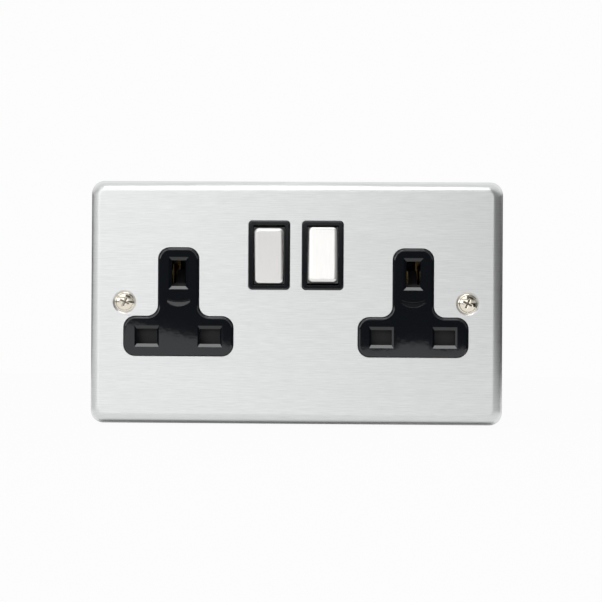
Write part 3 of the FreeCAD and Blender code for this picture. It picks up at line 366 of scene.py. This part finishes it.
# Each coil's width outside, its turns, its length at rest and how far its slide travels.
SHUTTER_COIL = (2.1 * MM, 9, 10.2 * MM, 6 * MM)
PLUNGER_COIL = (2 * MM, 5, 4.2 * MM, 1 * MM)
for side, sign in SIDES:
    lean = -sign * ROCKER_LEAN
    post = (sign * SOCKET_X, POST_Y, POST_Z)
    out_of_stalk = (0, math.cos(math.radians(lean)), math.sin(math.radians(lean)))
    seat = (
        sign * SWITCH_X,
        TRUNNION_Y + STALK_SEAT * out_of_stalk[1],
        SWITCH_Z + STALK_SEAT * out_of_stalk[2],
    )
    for job, foot, along, turn, carrier, (outside, turns, length, travel) in (
        ("shutter", post, (0, 0, 1), 0, "outlet", SHUTTER_COIL),
        ("plunger", seat, out_of_stalk, lean - 90, "rocker_" + side, PLUNGER_COIL),
    ):
        coil = wind(job + "_coil_" + side, outside, turns, length)
        coil.location = foot
        coil.rotation_euler = (math.radians(turn), 0, 0)
        settle()
        smooth(coil, angle=60)
        coil.data.materials.append(music_wire)
        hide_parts(job + "_spring_" + side)
        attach(coil, carrier)
        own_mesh(coil)

# Plungers: slim pins that slide in the rockers' stalks and throw the blades over centre. They are
# moulded in acetal, which needs no oil, and their springs hold them against the blades.

# Acetal is a milky, waxy white that lets a little light in.
MILK, LIGHT_DEPTH = 1.5 * MM, 0.4 * MM
acetal, tree, place = blank_material("acetal")
milk = add(tree, "ShaderNodeTexNoise", {"Scale": 1 / MILK, "Detail": 2}, {"Vector": place})
tone = add(
    tree,
    "ShaderNodeMixRGB",
    {"Color1": linear("#ECEAE2"), "Color2": linear("#DEDACD")},
    {"Fac": milk.outputs["Fac"]},
)
shader = add(
    tree,
    "ShaderNodeBsdfPrincipled",
    {"Roughness": 0.35, "IOR": 1.48, "Subsurface Weight": 0.15, "Subsurface Scale": LIGHT_DEPTH},
    {"Base Color": tone.outputs["Color"]},
)
add(tree, "ShaderNodeOutputMaterial", {}, {"Surface": shader.outputs["BSDF"]})
dress(acetal, "plunger_left", "plunger_right")

# Shutters: flat slides behind the pin slots, with a ramp that the plug's earth pin pushes down.
# They are moulded in glass-filled nylon, dark grey against the black of the faces, and run in guides
# of the front moulding.

# Glass fibre comes to the surface as short pale flecks, which dull the gloss. A fibre is really about
# 0.01 mm thick, and the flecks are drawn at 0.5 mm, or they would not show.
FLECK, FLECK_HEIGHT = 0.5 * MM, 0.02 * MM
filled_nylon, tree, place = blank_material("filled_nylon")
flecks = add(
    tree,
    "ShaderNodeTexNoise",
    {"Scale": 1 / FLECK, "Detail": 4, "Roughness": 0.7},
    {"Vector": place},
)
tone = add(
    tree,
    "ShaderNodeMixRGB",
    {"Color1": linear("#18181A"), "Color2": linear("#2A2A2C")},
    {"Fac": flecks.outputs["Fac"]},
)
rough = add(
    tree,
    "ShaderNodeBump",
    {"Strength": 0.2, "Distance": FLECK_HEIGHT},
    {"Height": flecks.outputs["Fac"]},
)
shader = add(
    tree,
    "ShaderNodeBsdfPrincipled",
    {"Roughness": 0.5, "IOR": 1.53, "Specular IOR Level": 0.3},
    {"Base Color": tone.outputs["Color"], "Normal": rough.outputs["Normal"]},
)
add(tree, "ShaderNodeOutputMaterial", {}, {"Surface": shader.outputs["BSDF"]})
dress(filled_nylon, "shutter_left", "shutter_right")

# Front moulding: one black piece behind the plate. Its two T-shaped faces and two switch surrounds
# stand through the plate, and its bearings carry the rockers' trunnions. The rockers' own bodies
# are moulded in the same black thermoset.

# A polished tool gives the faces a deep gloss with a very slight ripple, about 2 mm long, and they have
# a trace of dust, drawn at 0.5 mm, or it would not show. Round the switches, within 18 mm of the middle,
# the tool is left satin.
RIPPLE, RIPPLE_HEIGHT, DUST, FACE_EDGE = 2 * MM, 0.05 * MM, 0.5 * MM, 0.15 * MM
SATIN_REACH, SATIN_ROUGHNESS = 18 * MM, 0.07
gloss_black, tree, place = blank_material("gloss_black_thermoset")
ripple = add(tree, "ShaderNodeTexNoise", {"Scale": 1 / RIPPLE, "Detail": 2}, {"Vector": place})
dust = add(
    tree,
    "ShaderNodeTexNoise",
    {"Scale": 1 / DUST, "Detail": 4, "Roughness": 0.7},
    {"Vector": place},
)
tone = add(
    tree,
    "ShaderNodeMixRGB",
    {"Color1": linear("#0B0E12"), "Color2": linear("#12161B")},
    {"Fac": dust.outputs["Fac"]},
)
sheen = add(
    tree,
    "ShaderNodeMapRange",
    {"From Min": 0.3, "From Max": 0.7, "To Min": 0.02, "To Max": 0.05},
    {"Value": dust.outputs["Fac"]},
)
spot = add(tree, "ShaderNodeSeparateXYZ", {}, {"Vector": place})
aside = add(tree, "ShaderNodeMath", {"operation": "ABSOLUTE"}, {0: spot.outputs["X"]})
satin = add(tree, "ShaderNodeMath", {"operation": "LESS_THAN", 1: SATIN_REACH}, {0: aside.outputs["Value"]})
dulled = add(
    tree,
    "ShaderNodeMath",
    {"operation": "MULTIPLY_ADD", 1: SATIN_ROUGHNESS},
    {0: satin.outputs["Value"], 2: sheen.outputs["Result"]},
)
edge = add(tree, "ShaderNodeBevel", {"samples": 4, "Radius": FACE_EDGE})
waves = add(
    tree,
    "ShaderNodeBump",
    {"Strength": 0.05, "Distance": RIPPLE_HEIGHT},
    {"Height": ripple.outputs["Fac"], "Normal": edge.outputs["Normal"]},
)
shader = add(
    tree,
    "ShaderNodeBsdfPrincipled",
    {"IOR": 1.55},
    {
        "Base Color": tone.outputs["Color"],
        "Roughness": dulled.outputs["Value"],
        "Normal": waves.outputs["Normal"],
    },
)
add(tree, "ShaderNodeOutputMaterial", {}, {"Surface": shader.outputs["BSDF"]})
dress(gloss_black, "front_moulding", "rocker_body_left", "rocker_body_right")

# Rocker caps: drawn steel shells pressed over the rockers' black bodies, with well rounded front
# edges. They are plated, then satin finished. The left one is down at its foot, the right one at its
# top.

# Satin plating has a short vertical grain. It is really about 0.1 mm wide and is drawn at 0.4 mm, or
# it would not show.
CAP_GRAIN, CAP_GRAIN_DEPTH = (0.4 * MM, 4 * MM, 4 * MM), 0.01 * MM
satin_nickel, tree, place = blank_material("satin_nickel")
stretch = add(tree, "ShaderNodeMapping", {"Scale": [1 / size for size in CAP_GRAIN]}, {"Vector": place})
grain = add(tree, "ShaderNodeTexNoise", {"Scale": 1, "Detail": 3}, {"Vector": stretch.outputs["Vector"]})
tone = add(
    tree,
    "ShaderNodeMixRGB",
    {"Color1": linear("#ECEBE9"), "Color2": linear("#E6E5E3")},
    {"Fac": grain.outputs["Fac"]},
)
sheen = add(
    tree,
    "ShaderNodeMapRange",
    {"From Min": 0.25, "From Max": 0.75, "To Min": 0.3, "To Max": 0.35},
    {"Value": grain.outputs["Fac"]},
)
scratch = add(
    tree,
    "ShaderNodeBump",
    {"Strength": 0.05, "Distance": CAP_GRAIN_DEPTH},
    {"Height": grain.outputs["Fac"]},
)
shader = add(
    tree,
    "ShaderNodeBsdfPrincipled",
    {"Metallic": 1},
    {
        "Base Color": tone.outputs["Color"],
        "Roughness": sheen.outputs["Result"],
        "Normal": scratch.outputs["Normal"],
    },
)
add(tree, "ShaderNodeOutputMaterial", {}, {"Surface": shader.outputs["BSDF"]})

# A point nearer to a plane than CLOSE counts as on it.
CLOSE = 0.01 * MM
CAP_WIDTH, CAP_HEIGHT, CAP_DEPTH, CAP_WALL = 10.3 * MM, 19.6 * MM, 2.6 * MM, 0.8 * MM
CAP_FRONT, CAP_CORNER, CAP_ROLL = -4.3 * MM, 1.6 * MM, 1.15 * MM
for side, sign in SIDES:
    bpy.ops.object.select_all(action="DESELECT")
    bpy.ops.mesh.primitive_cube_add(size=1, location=(0, CAP_FRONT + CAP_DEPTH / 2, 0))
    cap = bpy.context.object
    cap.name = "rocker_cap_shell_" + side
    cap.scale = (CAP_WIDTH, CAP_DEPTH, CAP_HEIGHT)
    settle()
    pick(cap, "polygons", lambda c: all(p.y > CAP_FRONT + CAP_DEPTH - CLOSE for p in c))
    bpy.ops.mesh.delete(type="FACE")
    close_edit()
    pick(cap, "edges", lambda c: abs(c[0].y - c[1].y) > CAP_DEPTH - CLOSE)
    bpy.ops.mesh.bevel(affect="EDGES", offset=CAP_CORNER, segments=8)
    close_edit()
    pick(cap, "edges", lambda c: all(p.y < CAP_FRONT + CLOSE for p in c))
    bpy.ops.mesh.bevel(affect="EDGES", offset=CAP_ROLL, segments=10)
    close_edit()
    apply_modifier(cap, "SOLIDIFY", thickness=CAP_WALL, offset=-1, use_even_offset=True)
    low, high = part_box("rocker_body_" + side)
    cap.rotation_euler = (math.radians(-sign * ROCKER_LEAN), 0, 0)
    cap.location = ((low.x + high.x) / 2, TRUNNION_Y, SWITCH_Z)
    settle()
    smooth(cap)
    cap.data.materials.append(satin_nickel)
    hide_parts("rocker_cap_" + side)
    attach(cap, "rocker_" + side)

# Front plate: one pressing of 1 mm stainless sheet, brushed along its length before it was formed.
# The rim is rolled back to the wall, and the openings and the two screw dimples are pressed through.
# Studs on its back hold it to the front moulding.

# Belt brushing leaves fine lines along the plate, which spread a reflection up and down, in bands that
# differ slightly. The lines are about 0.1 mm apart and are drawn at 0.35 mm, or they would not show.
BRUSH_LINE, BRUSH_BAND, BRUSH_DEPTH = (7 * MM, 7 * MM, 0.35 * MM), (60 * MM, 60 * MM, 3 * MM), 0.01 * MM
brushed_stainless, tree, place = blank_material("brushed_stainless")
stretch = add(tree, "ShaderNodeMapping", {"Scale": [1 / size for size in BRUSH_LINE]}, {"Vector": place})
lines = add(
    tree,
    "ShaderNodeTexNoise",
    {"Scale": 1, "Detail": 4, "Roughness": 0.65},
    {"Vector": stretch.outputs["Vector"]},
)
stretch = add(tree, "ShaderNodeMapping", {"Scale": [1 / size for size in BRUSH_BAND]}, {"Vector": place})
bands = add(tree, "ShaderNodeTexNoise", {"Scale": 1, "Detail": 2}, {"Vector": stretch.outputs["Vector"]})
fine = add(
    tree,
    "ShaderNodeMixRGB",
    {"Color1": linear("#C8CACB"), "Color2": linear("#EEEFEE")},
    {"Fac": lines.outputs["Fac"]},
)
broad = add(
    tree,
    "ShaderNodeMixRGB",
    {"Color1": linear("#F7F7F7"), "Color2": linear("#FFFFFF")},
    {"Fac": bands.outputs["Fac"]},
)
tone = add(
    tree,
    "ShaderNodeMixRGB",
    {"blend_type": "MULTIPLY", "Fac": 1},
    {"Color1": fine.outputs["Color"], "Color2": broad.outputs["Color"]},
)
sheen = add(
    tree,
    "ShaderNodeMapRange",
    {"From Min": 0.25, "From Max": 0.75, "To Min": 0.3, "To Max": 0.4},
    {"Value": lines.outputs["Fac"]},
)
scratch = add(
    tree,
    "ShaderNodeBump",
    {"Strength": 0.06, "Distance": BRUSH_DEPTH},
    {"Height": lines.outputs["Fac"]},
)
shader = add(
    tree,
    "ShaderNodeBsdfPrincipled",
    {"Metallic": 1, "Anisotropic": 0.7, "Anisotropic Rotation": 0.25},
    {
        "Base Color": tone.outputs["Color"],
        "Roughness": sheen.outputs["Result"],
        "Normal": scratch.outputs["Normal"],
    },
)
add(tree, "ShaderNodeOutputMaterial", {}, {"Surface": shader.outputs["BSDF"]})


def upright_sheet(name, x, y, z, width, height):
    """A flat rectangle that faces the front."""
    bpy.ops.object.select_all(action="DESELECT")
    bpy.ops.mesh.primitive_plane_add(size=1, location=(x, y, z), rotation=(math.radians(90), 0, 0))
    piece = bpy.context.object
    piece.name = name
    piece.scale = (width, height, 1)
    settle()
    return piece


def round_corners(piece, radius, segments, wanted=lambda c: True):
    pick(piece, "vertices", wanted)
    bpy.ops.mesh.bevel(affect="VERTICES", offset=radius, segments=segments)
    close_edit()


def push_back(piece, depth):
    """Extrudes a flat outline along Y into a closed block."""
    pick(piece, "polygons", lambda c: True)
    bpy.ops.mesh.extrude_region_move(TRANSFORM_OT_translate={"value": (0, depth, 0)})
    bpy.ops.mesh.select_all(action="SELECT")
    bpy.ops.mesh.normals_make_consistent(inside=False)
    close_edit()


def carve(piece, tool):
    """Cuts a tool's shape out of a piece and throws the tool away."""
    apply_modifier(piece, "BOOLEAN", object=tool, operation="DIFFERENCE", solver="EXACT")
    bpy.data.objects.remove(tool)


def draw_out(x, rings):
    """Extrudes the selected ring round an axis at x, the first of rings, through the radius and level of
    each of the others."""
    radius, level = rings[0]
    for next_radius, next_level in rings[1:]:
        bpy.ops.mesh.extrude_region_move(TRANSFORM_OT_translate={"value": (0, next_level - level, 0)})
        ratio = next_radius / radius
        bpy.ops.transform.resize(value=(ratio, 1, ratio), center_override=(x, next_level, 0))
        radius, level = next_radius, next_level


def all_at(corners, level):
    """Whether all corners lie at one level along Y."""
    return all(abs(p.y - level) < CLOSE for p in corners)


PLATE_WIDTH, PLATE_HEIGHT, PLATE_DEPTH, SHEET = 146 * MM, 86 * MM, 7 * MM, 1 * MM
PLATE_CORNER, DRAFT, ROLL = 4.5 * MM, math.radians(12), 3.2 * MM
inset = PLATE_DEPTH * math.tan(DRAFT)
plate = upright_sheet("pressed_plate", 0, 0, 0, PLATE_WIDTH, PLATE_HEIGHT)
round_corners(plate, PLATE_CORNER, segments=14)
push_back(plate, -PLATE_DEPTH)
pick(plate, "polygons", lambda c: all_at(c, 0))
bpy.ops.mesh.delete(type="FACE")
close_edit()
pick(plate, "vertices", lambda c: all_at(c, -PLATE_DEPTH))
narrower = (1 - 2 * inset / PLATE_WIDTH, 1, 1 - 2 * inset / PLATE_HEIGHT)
bpy.ops.transform.resize(value=narrower, center_override=(0, -PLATE_DEPTH, 0))
close_edit()
pick(plate, "edges", lambda c: all_at(c, -PLATE_DEPTH))
bpy.ops.mesh.bevel(affect="EDGES", offset=ROLL * math.tan(math.radians(45) - DRAFT / 2), segments=16)
close_edit()
apply_modifier(plate, "SOLIDIFY", thickness=SHEET, offset=-1, use_even_offset=True)


def on_ring(corners, x, radius):
    """Whether all corners stand at a radius from an axis at x."""
    return all(abs(math.hypot(p.x - x, p.z) - radius) < 2 * CLOSE for p in corners)


# Each dimple is drilled at its mouth, then the two rims of the hole are pressed back into a cone.
TOOL_LENGTH = 4 * MM
SCREW_X, MOUTH, HOLE, CONE_BACK = 60.3 * MM, 4.1 * MM, 2.2 * MM, 2.7 * MM
HOLE_FRONT_Y, HOLE_BACK_Y = -5.1 * MM, -4.6 * MM
for x in (-SCREW_X, SCREW_X):
    bpy.ops.object.select_all(action="DESELECT")
    bpy.ops.mesh.primitive_cylinder_add(
        vertices=72,
        radius=MOUTH,
        depth=TOOL_LENGTH,
        location=(x, -PLATE_DEPTH, 0),
        rotation=(math.radians(90), 0, 0),
    )
    drill = bpy.context.object
    settle()
    carve(plate, drill)
    pick(plate, "polygons", lambda c: on_ring(c, x, MOUTH))
    bpy.ops.mesh.delete(type="ONLY_FACE")
    close_edit()
    for rim, rings in (
        (-PLATE_DEPTH, [(HOLE, HOLE_FRONT_Y)]),
        (SHEET - PLATE_DEPTH, [(CONE_BACK, HOLE_BACK_Y), (HOLE, HOLE_BACK_Y)]),
    ):
        pick(plate, "edges", lambda c: on_ring(c, x, MOUTH) and all_at(c, rim))
        draw_out(x, [(MOUTH, rim)] + rings)
        close_edit()
    pick(plate, "edges", lambda c: on_ring(c, x, HOLE) and abs(c[0].y - c[1].y) < CLOSE)
    bpy.ops.mesh.bridge_edge_loops()
    bpy.ops.mesh.select_all(action="SELECT")
    bpy.ops.mesh.normals_make_consistent(inside=False)
    close_edit()

# The openings: an inverted T for each socket face, and a rounded oblong for each switch surround, with
# a gap all round what stands in them.
GAP, PUNCH_Y, T_CORNER = 0.15 * MM, -8 * MM, 4 * MM
stem, foot = 7.1 * MM + GAP, 19.25 * MM + GAP
low, shoulder, top = -18.85 * MM - GAP, -5 * MM + GAP, 19.15 * MM + GAP
for x in (-SOCKET_X, SOCKET_X):
    punch = upright_sheet("punch", x, PUNCH_Y, (low + shoulder) / 2, 2 * foot, shoulder - low)
    pick(punch, "edges", lambda c: all(p.z > shoulder - CLOSE for p in c))
    bpy.ops.mesh.subdivide(number_cuts=2)
    close_edit()
    for vertex in punch.data.vertices:
        if vertex.co.z > shoulder - CLOSE and abs(vertex.co.x - x) < foot - CLOSE:
            vertex.co.x = x + math.copysign(stem, vertex.co.x - x)
    pick(punch, "edges", lambda c: all(p.z > shoulder - CLOSE and abs(p.x - x) < foot - CLOSE for p in c))
    bpy.ops.mesh.extrude_region_move(TRANSFORM_OT_translate={"value": (0, 0, top - shoulder)})
    bpy.ops.mesh.select_all(action="SELECT")
    bpy.ops.mesh.dissolve_faces()
    close_edit()
    round_corners(
        punch,
        T_CORNER + GAP,
        segments=10,
        wanted=lambda c: abs(c[0].x - x) > foot - CLOSE or c[0].z > top - CLOSE,
    )
    round_corners(
        punch,
        T_CORNER - GAP,
        segments=10,
        wanted=lambda c: abs(abs(c[0].x - x) - stem) < CLOSE and abs(c[0].z - shoulder) < CLOSE,
    )
    push_back(punch, TOOL_LENGTH)
    carve(plate, punch)
width, height, corner = 14.35 * MM + 2 * GAP, 24 * MM + 2 * GAP, 1.2 * MM + GAP
for x in (-SWITCH_X, SWITCH_X):
    punch = upright_sheet("punch", x, PUNCH_Y, SWITCH_Z, width, height)
    round_corners(punch, corner, segments=8)
    push_back(punch, TOOL_LENGTH)
    carve(plate, punch)

# A press rolls the sheet over slightly at each opening, and that edge catches the light.
RIM, PRESSED_EDGE = 7 * MM, 0.12 * MM


def within_rim(corners):
    """Whether all corners lie on the plate's flat front, clear of its rolled rim."""
    clear = all(abs(p.x) < PLATE_WIDTH / 2 - RIM and abs(p.z) < PLATE_HEIGHT / 2 - RIM for p in corners)
    return clear and all_at(corners, -PLATE_DEPTH)


pick(plate, "edges", within_rim)
bpy.ops.mesh.bevel(affect="EDGES", offset=PRESSED_EDGE, segments=2)
close_edit()
smooth(plate)
plate.data.materials.append(brushed_stainless)
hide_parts("front_plate")
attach(plate, "outlet")

# Fixing screws: two raised countersunk machine screws that pull the plate on to the wall box. They are
# turned and thread rolled in brass, with a cross recess, and bright nickel plated.

# Bright nickel is nearly a mirror, slightly warm, with hairline marks from the barrel. They are drawn at
# 0.5 mm, coarser than real, or they would not show.
HAIR = 0.5 * MM
bright_nickel, tree, place = blank_material("bright_nickel")
hairs = add(tree, "ShaderNodeTexNoise", {"Scale": 1 / HAIR, "Detail": 4}, {"Vector": place})
tone = add(
    tree,
    "ShaderNodeMixRGB",
    {"Color1": linear("#F0EBDF"), "Color2": linear("#DAD2C2")},
    {"Fac": hairs.outputs["Fac"]},
)
sheen = add(
    tree,
    "ShaderNodeMapRange",
    {"From Min": 0.3, "From Max": 0.7, "To Min": 0.06, "To Max": 0.14},
    {"Value": hairs.outputs["Fac"]},
)
edge = add(tree, "ShaderNodeBevel", {"samples": 4, "Radius": PLATED_EDGE})
shader = add(
    tree,
    "ShaderNodeBsdfPrincipled",
    {"Metallic": 1},
    {
        "Base Color": tone.outputs["Color"],
        "Roughness": sheen.outputs["Result"],
        "Normal": edge.outputs["Normal"],
    },
)
add(tree, "ShaderNodeOutputMaterial", {}, {"Surface": shader.outputs["BSDF"]})

# The blank is drawn out ring by ring: the dome, which is part of a ball of 7.475 mm radius, a groove, the
# rim, the countersink, the neck, the core and a blunt point.
HEAD, DOME, BALL, DOME_RINGS, LAND = 3.5 * MM, 2.8 * MM, 7.475 * MM, 9, 0.12 * MM
TOP, SEAT, NECK, RUN_OUT, TIP = -7.322 * MM, -6.45 * MM, -3.4 * MM, 0.4 * MM, 18.55 * MM
SHANK, CORE, POINT, POINT_LENGTH = 1.75 * MM, 1.38 * MM, 0.75 * MM, 0.8 * MM
GROOVE = [(2.85 * MM, -6.5 * MM), (3.05 * MM, -6.5 * MM)]
HEAD_RIM = [(3.1 * MM, -6.64 * MM), (3.3 * MM, -6.58 * MM), (HEAD, SEAT), (HEAD, SEAT + LAND)]
rings = []
for i in range(1, DOME_RINGS + 1):
    angle = math.asin(DOME / BALL) * i / DOME_RINGS
    rings.append((BALL * math.sin(angle), TOP + BALL * (1 - math.cos(angle))))
rings += GROOVE + HEAD_RIM
rings += [(SHANK, SEAT + HEAD - SHANK + LAND), (SHANK, NECK), (CORE, NECK + RUN_OUT)]
rings += [(CORE, TIP - POINT_LENGTH), (POINT, TIP)]

# The recess is two crossed arms that narrow towards its floor, at the turn the screw was left at.
SCREW_TURN = 25
RECESS_ARM, RECESS_MIDDLE, RECESS_TAPER = (3.8 * MM, 2 * MM, 1.1 * MM), TOP + 0.5 * MM, (0.89, 1, 0.56)

# The thread is a rolled M3.5: one ridge, rooted just inside the core, carried round it 34 times.
PITCH, THREAD_TURNS, THREAD_STEPS, THREAD_Y = 0.6 * MM, 34, 20, -3.2 * MM
ROOT = CORE * 0.98
RIDGE = ((ROOT, 0), (ROOT, 0.58 * MM), (SHANK, 0.22 * MM), (SHANK, 0.36 * MM))
for side, sign in SIDES:
    bpy.ops.object.select_all(action="DESELECT")
    radius, level = rings[0]
    bpy.ops.mesh.primitive_circle_add(
        vertices=48,
        radius=radius,
        fill_type="NGON",
        location=(0, level, 0),
        rotation=(math.radians(90), 0, 0),
    )
    screw = bpy.context.object
    screw.name = "fixing_screw_" + side
    settle()
    pick(screw, "polygons", lambda c: True)
    draw_out(0, rings)
    bpy.ops.mesh.select_all(action="SELECT")
    bpy.ops.mesh.normals_make_consistent(inside=False)
    close_edit()
    for turn in (SCREW_TURN, SCREW_TURN + 90):
        bpy.ops.object.select_all(action="DESELECT")
        bpy.ops.mesh.primitive_cube_add(size=1, location=(0, RECESS_MIDDLE, 0))
        arm = bpy.context.object
        arm.scale = RECESS_ARM
        settle()
        pick(arm, "polygons", lambda c: all(p.y > RECESS_MIDDLE + CLOSE for p in c))
        bpy.ops.transform.resize(value=RECESS_TAPER, center_override=(0, TOP, 0))
        close_edit()
        arm.rotation_euler = (0, math.radians(turn), 0)
        settle()
        carve(screw, arm)
    bpy.ops.object.select_all(action="DESELECT")
    bpy.ops.mesh.primitive_plane_add(size=1, location=(0, 0, 0))
    thread = bpy.context.object
    for vertex, (out, along) in zip(thread.data.vertices, RIDGE):
        vertex.co = (out, THREAD_Y + along, 0)
    apply_modifier(
        thread,
        "SCREW",
        axis="Y",
        screw_offset=PITCH,
        iterations=THREAD_TURNS,
        steps=THREAD_STEPS,
        render_steps=THREAD_STEPS,
        use_merge_vertices=True,
        merge_threshold=CLOSE / 10,
    )
    pick(thread, "edges", lambda c: True)
    bpy.ops.mesh.fill_holes(sides=len(RIDGE))
    bpy.ops.mesh.normals_make_consistent(inside=False)
    close_edit()
    hold(screw)
    thread.select_set(True)
    bpy.ops.object.join()
    screw.location = (sign * SCREW_X, 0, 0)
    settle()
    smooth(screw)
    screw.data.materials.append(bright_nickel)
    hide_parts("fixing_screws")
    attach(screw, "outlet")

# Surroundings: white paper under the plate, which ends 0.98 m in front, and three more sheets further
# out. The gloss faces mirror all four in their lower parts. The outer sheets lie a little lower, because
# sheets at one level would shade each other where they overlap.

# The paper glows full white where it is seen directly or in metal, apart from the crevice under the plate,
# where painted shade keeps it dark in what the metal mirrors. It passes light on as plain matt paper.
CREVICE, CREVICE_SHARPNESS, LIT = 2 * MM, 3, 0.95
white_paper, tree, place = blank_material("white_paper")
path = add(tree, "ShaderNodeLightPath")
matt = add(tree, "ShaderNodeBsdfDiffuse", {"Color": linear("#BCBCBC")})
glow = add(tree, "ShaderNodeEmission", {"Color": linear("#FFFFFF"), "Strength": 1})
# Painted shade: an occlusion term, sharpened by a power, darkens the paper's glow under the plate for glossy
# rays.
near = add(tree, "ShaderNodeAmbientOcclusion", {"samples": 16, "Distance": CREVICE})
painted_crevice_shade = add(
    tree,
    "ShaderNodeMath",
    {"operation": "POWER", 1: CREVICE_SHARPNESS},
    {0: near.outputs["AO"]},
)
glossy_glow_with_painted_shade = add(
    tree,
    "ShaderNodeMath",
    {"operation": "MULTIPLY"},
    {0: path.outputs["Is Glossy Ray"], 1: painted_crevice_shade.outputs["Value"]},
)
seen = add(
    tree,
    "ShaderNodeMath",
    {"operation": "MAXIMUM"},
    {0: path.outputs["Is Camera Ray"], 1: glossy_glow_with_painted_shade.outputs["Value"]},
)
share = add(tree, "ShaderNodeMath", {"operation": "MULTIPLY", 1: LIT}, {0: seen.outputs["Value"]})
mixed = add(
    tree,
    "ShaderNodeMixShader",
    {},
    {0: share.outputs["Value"], 1: matt.outputs["BSDF"], 2: glow.outputs["Emission"]},
)
add(tree, "ShaderNodeOutputMaterial", {}, {"Surface": mixed.outputs["Shader"]})
FLOOR_Z, STEP_DOWN = -43.6 * MM, 0.3 * MM
for name, width, length, middle, turn in (
    ("floor", 3.16, 1.38, (-1.42, -0.29, FLOOR_Z), 0),
    ("near_sheet", 0.6, 0.3, (-0.405, -1, FLOOR_Z - STEP_DOWN), 0),
    ("left_sheet", 1.2, 1.9, (-0.849, -1.815, FLOOR_Z - 2 * STEP_DOWN), -11),
    ("right_strip", 0.032, 0.26, (0.086, -1.08, FLOOR_Z - STEP_DOWN), 2.5),
):
    bpy.ops.object.select_all(action="DESELECT")
    bpy.ops.mesh.primitive_plane_add(size=1, location=middle, rotation=(0, 0, math.radians(turn)))
    sheet = bpy.context.object
    sheet.name = name
    sheet.scale = (width, length, 1)
    settle()
    sheet.data.materials.append(white_paper)

# Room: paler on the left than on the right, darker behind, and dark in front at the camera's own
# height, which is what the black faces mirror. A long window stands high on the left.
world = bpy.data.worlds.new("studio")
world.use_nodes = True
bpy.context.scene.world = world
tree = world.node_tree
tree.nodes.clear()
ray = add(tree, "ShaderNodeTexCoord").outputs["Generated"]
axes = add(tree, "ShaderNodeSeparateXYZ", {}, {"Vector": ray}).outputs


def brightness(*changes):
    """A product of smooth changes of level. Each goes along one part of a ray's direction, from start to
    end, and from a first level to a last one."""
    product = None
    for along, start, end, first, last in changes:
        span = {"From Min": start, "From Max": end, "To Min": first, "To Max": last}
        change = add(
            tree,
            "ShaderNodeMapRange",
            {"interpolation_type": "SMOOTHSTEP", **span},
            {"Value": along},
        ).outputs["Result"]
        if product is None:
            product = change
        else:
            links = {0: product, 1: change}
            product = add(tree, "ShaderNodeMath", {"operation": "MULTIPLY"}, links).outputs["Value"]
    return product


walls = brightness(
    (axes["X"], -0.3, 0.5, 1.2, 0.26),
    (axes["X"], -0.95, -0.5, 0.5, 1),
    (axes["Y"], -0.6, 0.9, 1, 0.28),
    (axes["Z"], 0.2, 0.45, 1.47, 0.12),
)
slope = add(tree, "ShaderNodeMath", {"operation": "MULTIPLY_ADD", 1: 0.4}, {0: axes["Y"], 2: axes["Z"]})
ceiling = brightness((slope.outputs["Value"], 0.3, 0.6, 0, 0.65))
eye_level = brightness((axes["Z"], 0.04, 0.1, 0.04, 1.5))
window = brightness(
    (axes["X"], -0.06, -0.01, 1.4, 0),
    (axes["X"], -0.7, -0.6, 0, 1),
    (axes["Z"], 0.42, 0.47, 0, 1),
    (axes["Z"], 0.66, 0.71, 1, 0),
    (axes["Y"], -0.2, 0, 1, 0),
)
surfaces = add(tree, "ShaderNodeMath", {"operation": "MAXIMUM"}, {0: walls, 1: ceiling})
dimmed = add(tree, "ShaderNodeMath", {"operation": "MULTIPLY"}, {0: surfaces.outputs["Value"], 1: eye_level})
level = add(tree, "ShaderNodeMath", {"operation": "ADD"}, {0: dimmed.outputs["Value"], 1: window})
room = add(tree, "ShaderNodeBackground", {"Color": linear("#FFFFFF")}, {"Strength": level.outputs["Value"]})
white = add(tree, "ShaderNodeBackground", {"Color": linear("#FFFFFF"), "Strength": 0.98})
path = add(tree, "ShaderNodeLightPath")
mixed = add(
    tree,
    "ShaderNodeMixShader",
    {},
    {0: path.outputs["Is Camera Ray"], 1: room.outputs["Background"], 2: white.outputs["Background"]},
)
add(tree, "ShaderNodeOutputWorld", {}, {"Surface": mixed.outputs["Shader"]})

# Light: one soft box that faces down from 0.6 m above the plate's middle, 0.22 to 0.52 m in front of the
# wall.
lamp = bpy.data.lights.new("soft_box", "AREA")
lamp.shape = "RECTANGLE"
lamp.size, lamp.size_y = 0.4, 0.3
lamp.energy = 1.25
soft_box = bpy.data.objects.new("soft_box", lamp)
soft_box.location = (-0.02, -0.37, 0.6)
bpy.context.scene.collection.objects.link(soft_box)

# Camera: level with the plate's middle and 582 mm in front of it, slightly to the right of it and
# turned back towards it.
view = bpy.data.cameras.new("camera")
view.sensor_width = 36
view.lens = 99.3
camera = bpy.data.objects.new("camera", view)
camera.location = (16.9 * MM, -589.4 * MM, 0.66 * MM)
camera.rotation_euler = (math.radians(90), math.radians(-0.335), math.radians(1.48))
bpy.context.scene.collection.objects.link(camera)
bpy.context.scene.camera = camera
bpy.context.scene.view_settings.view_transform = "Standard"
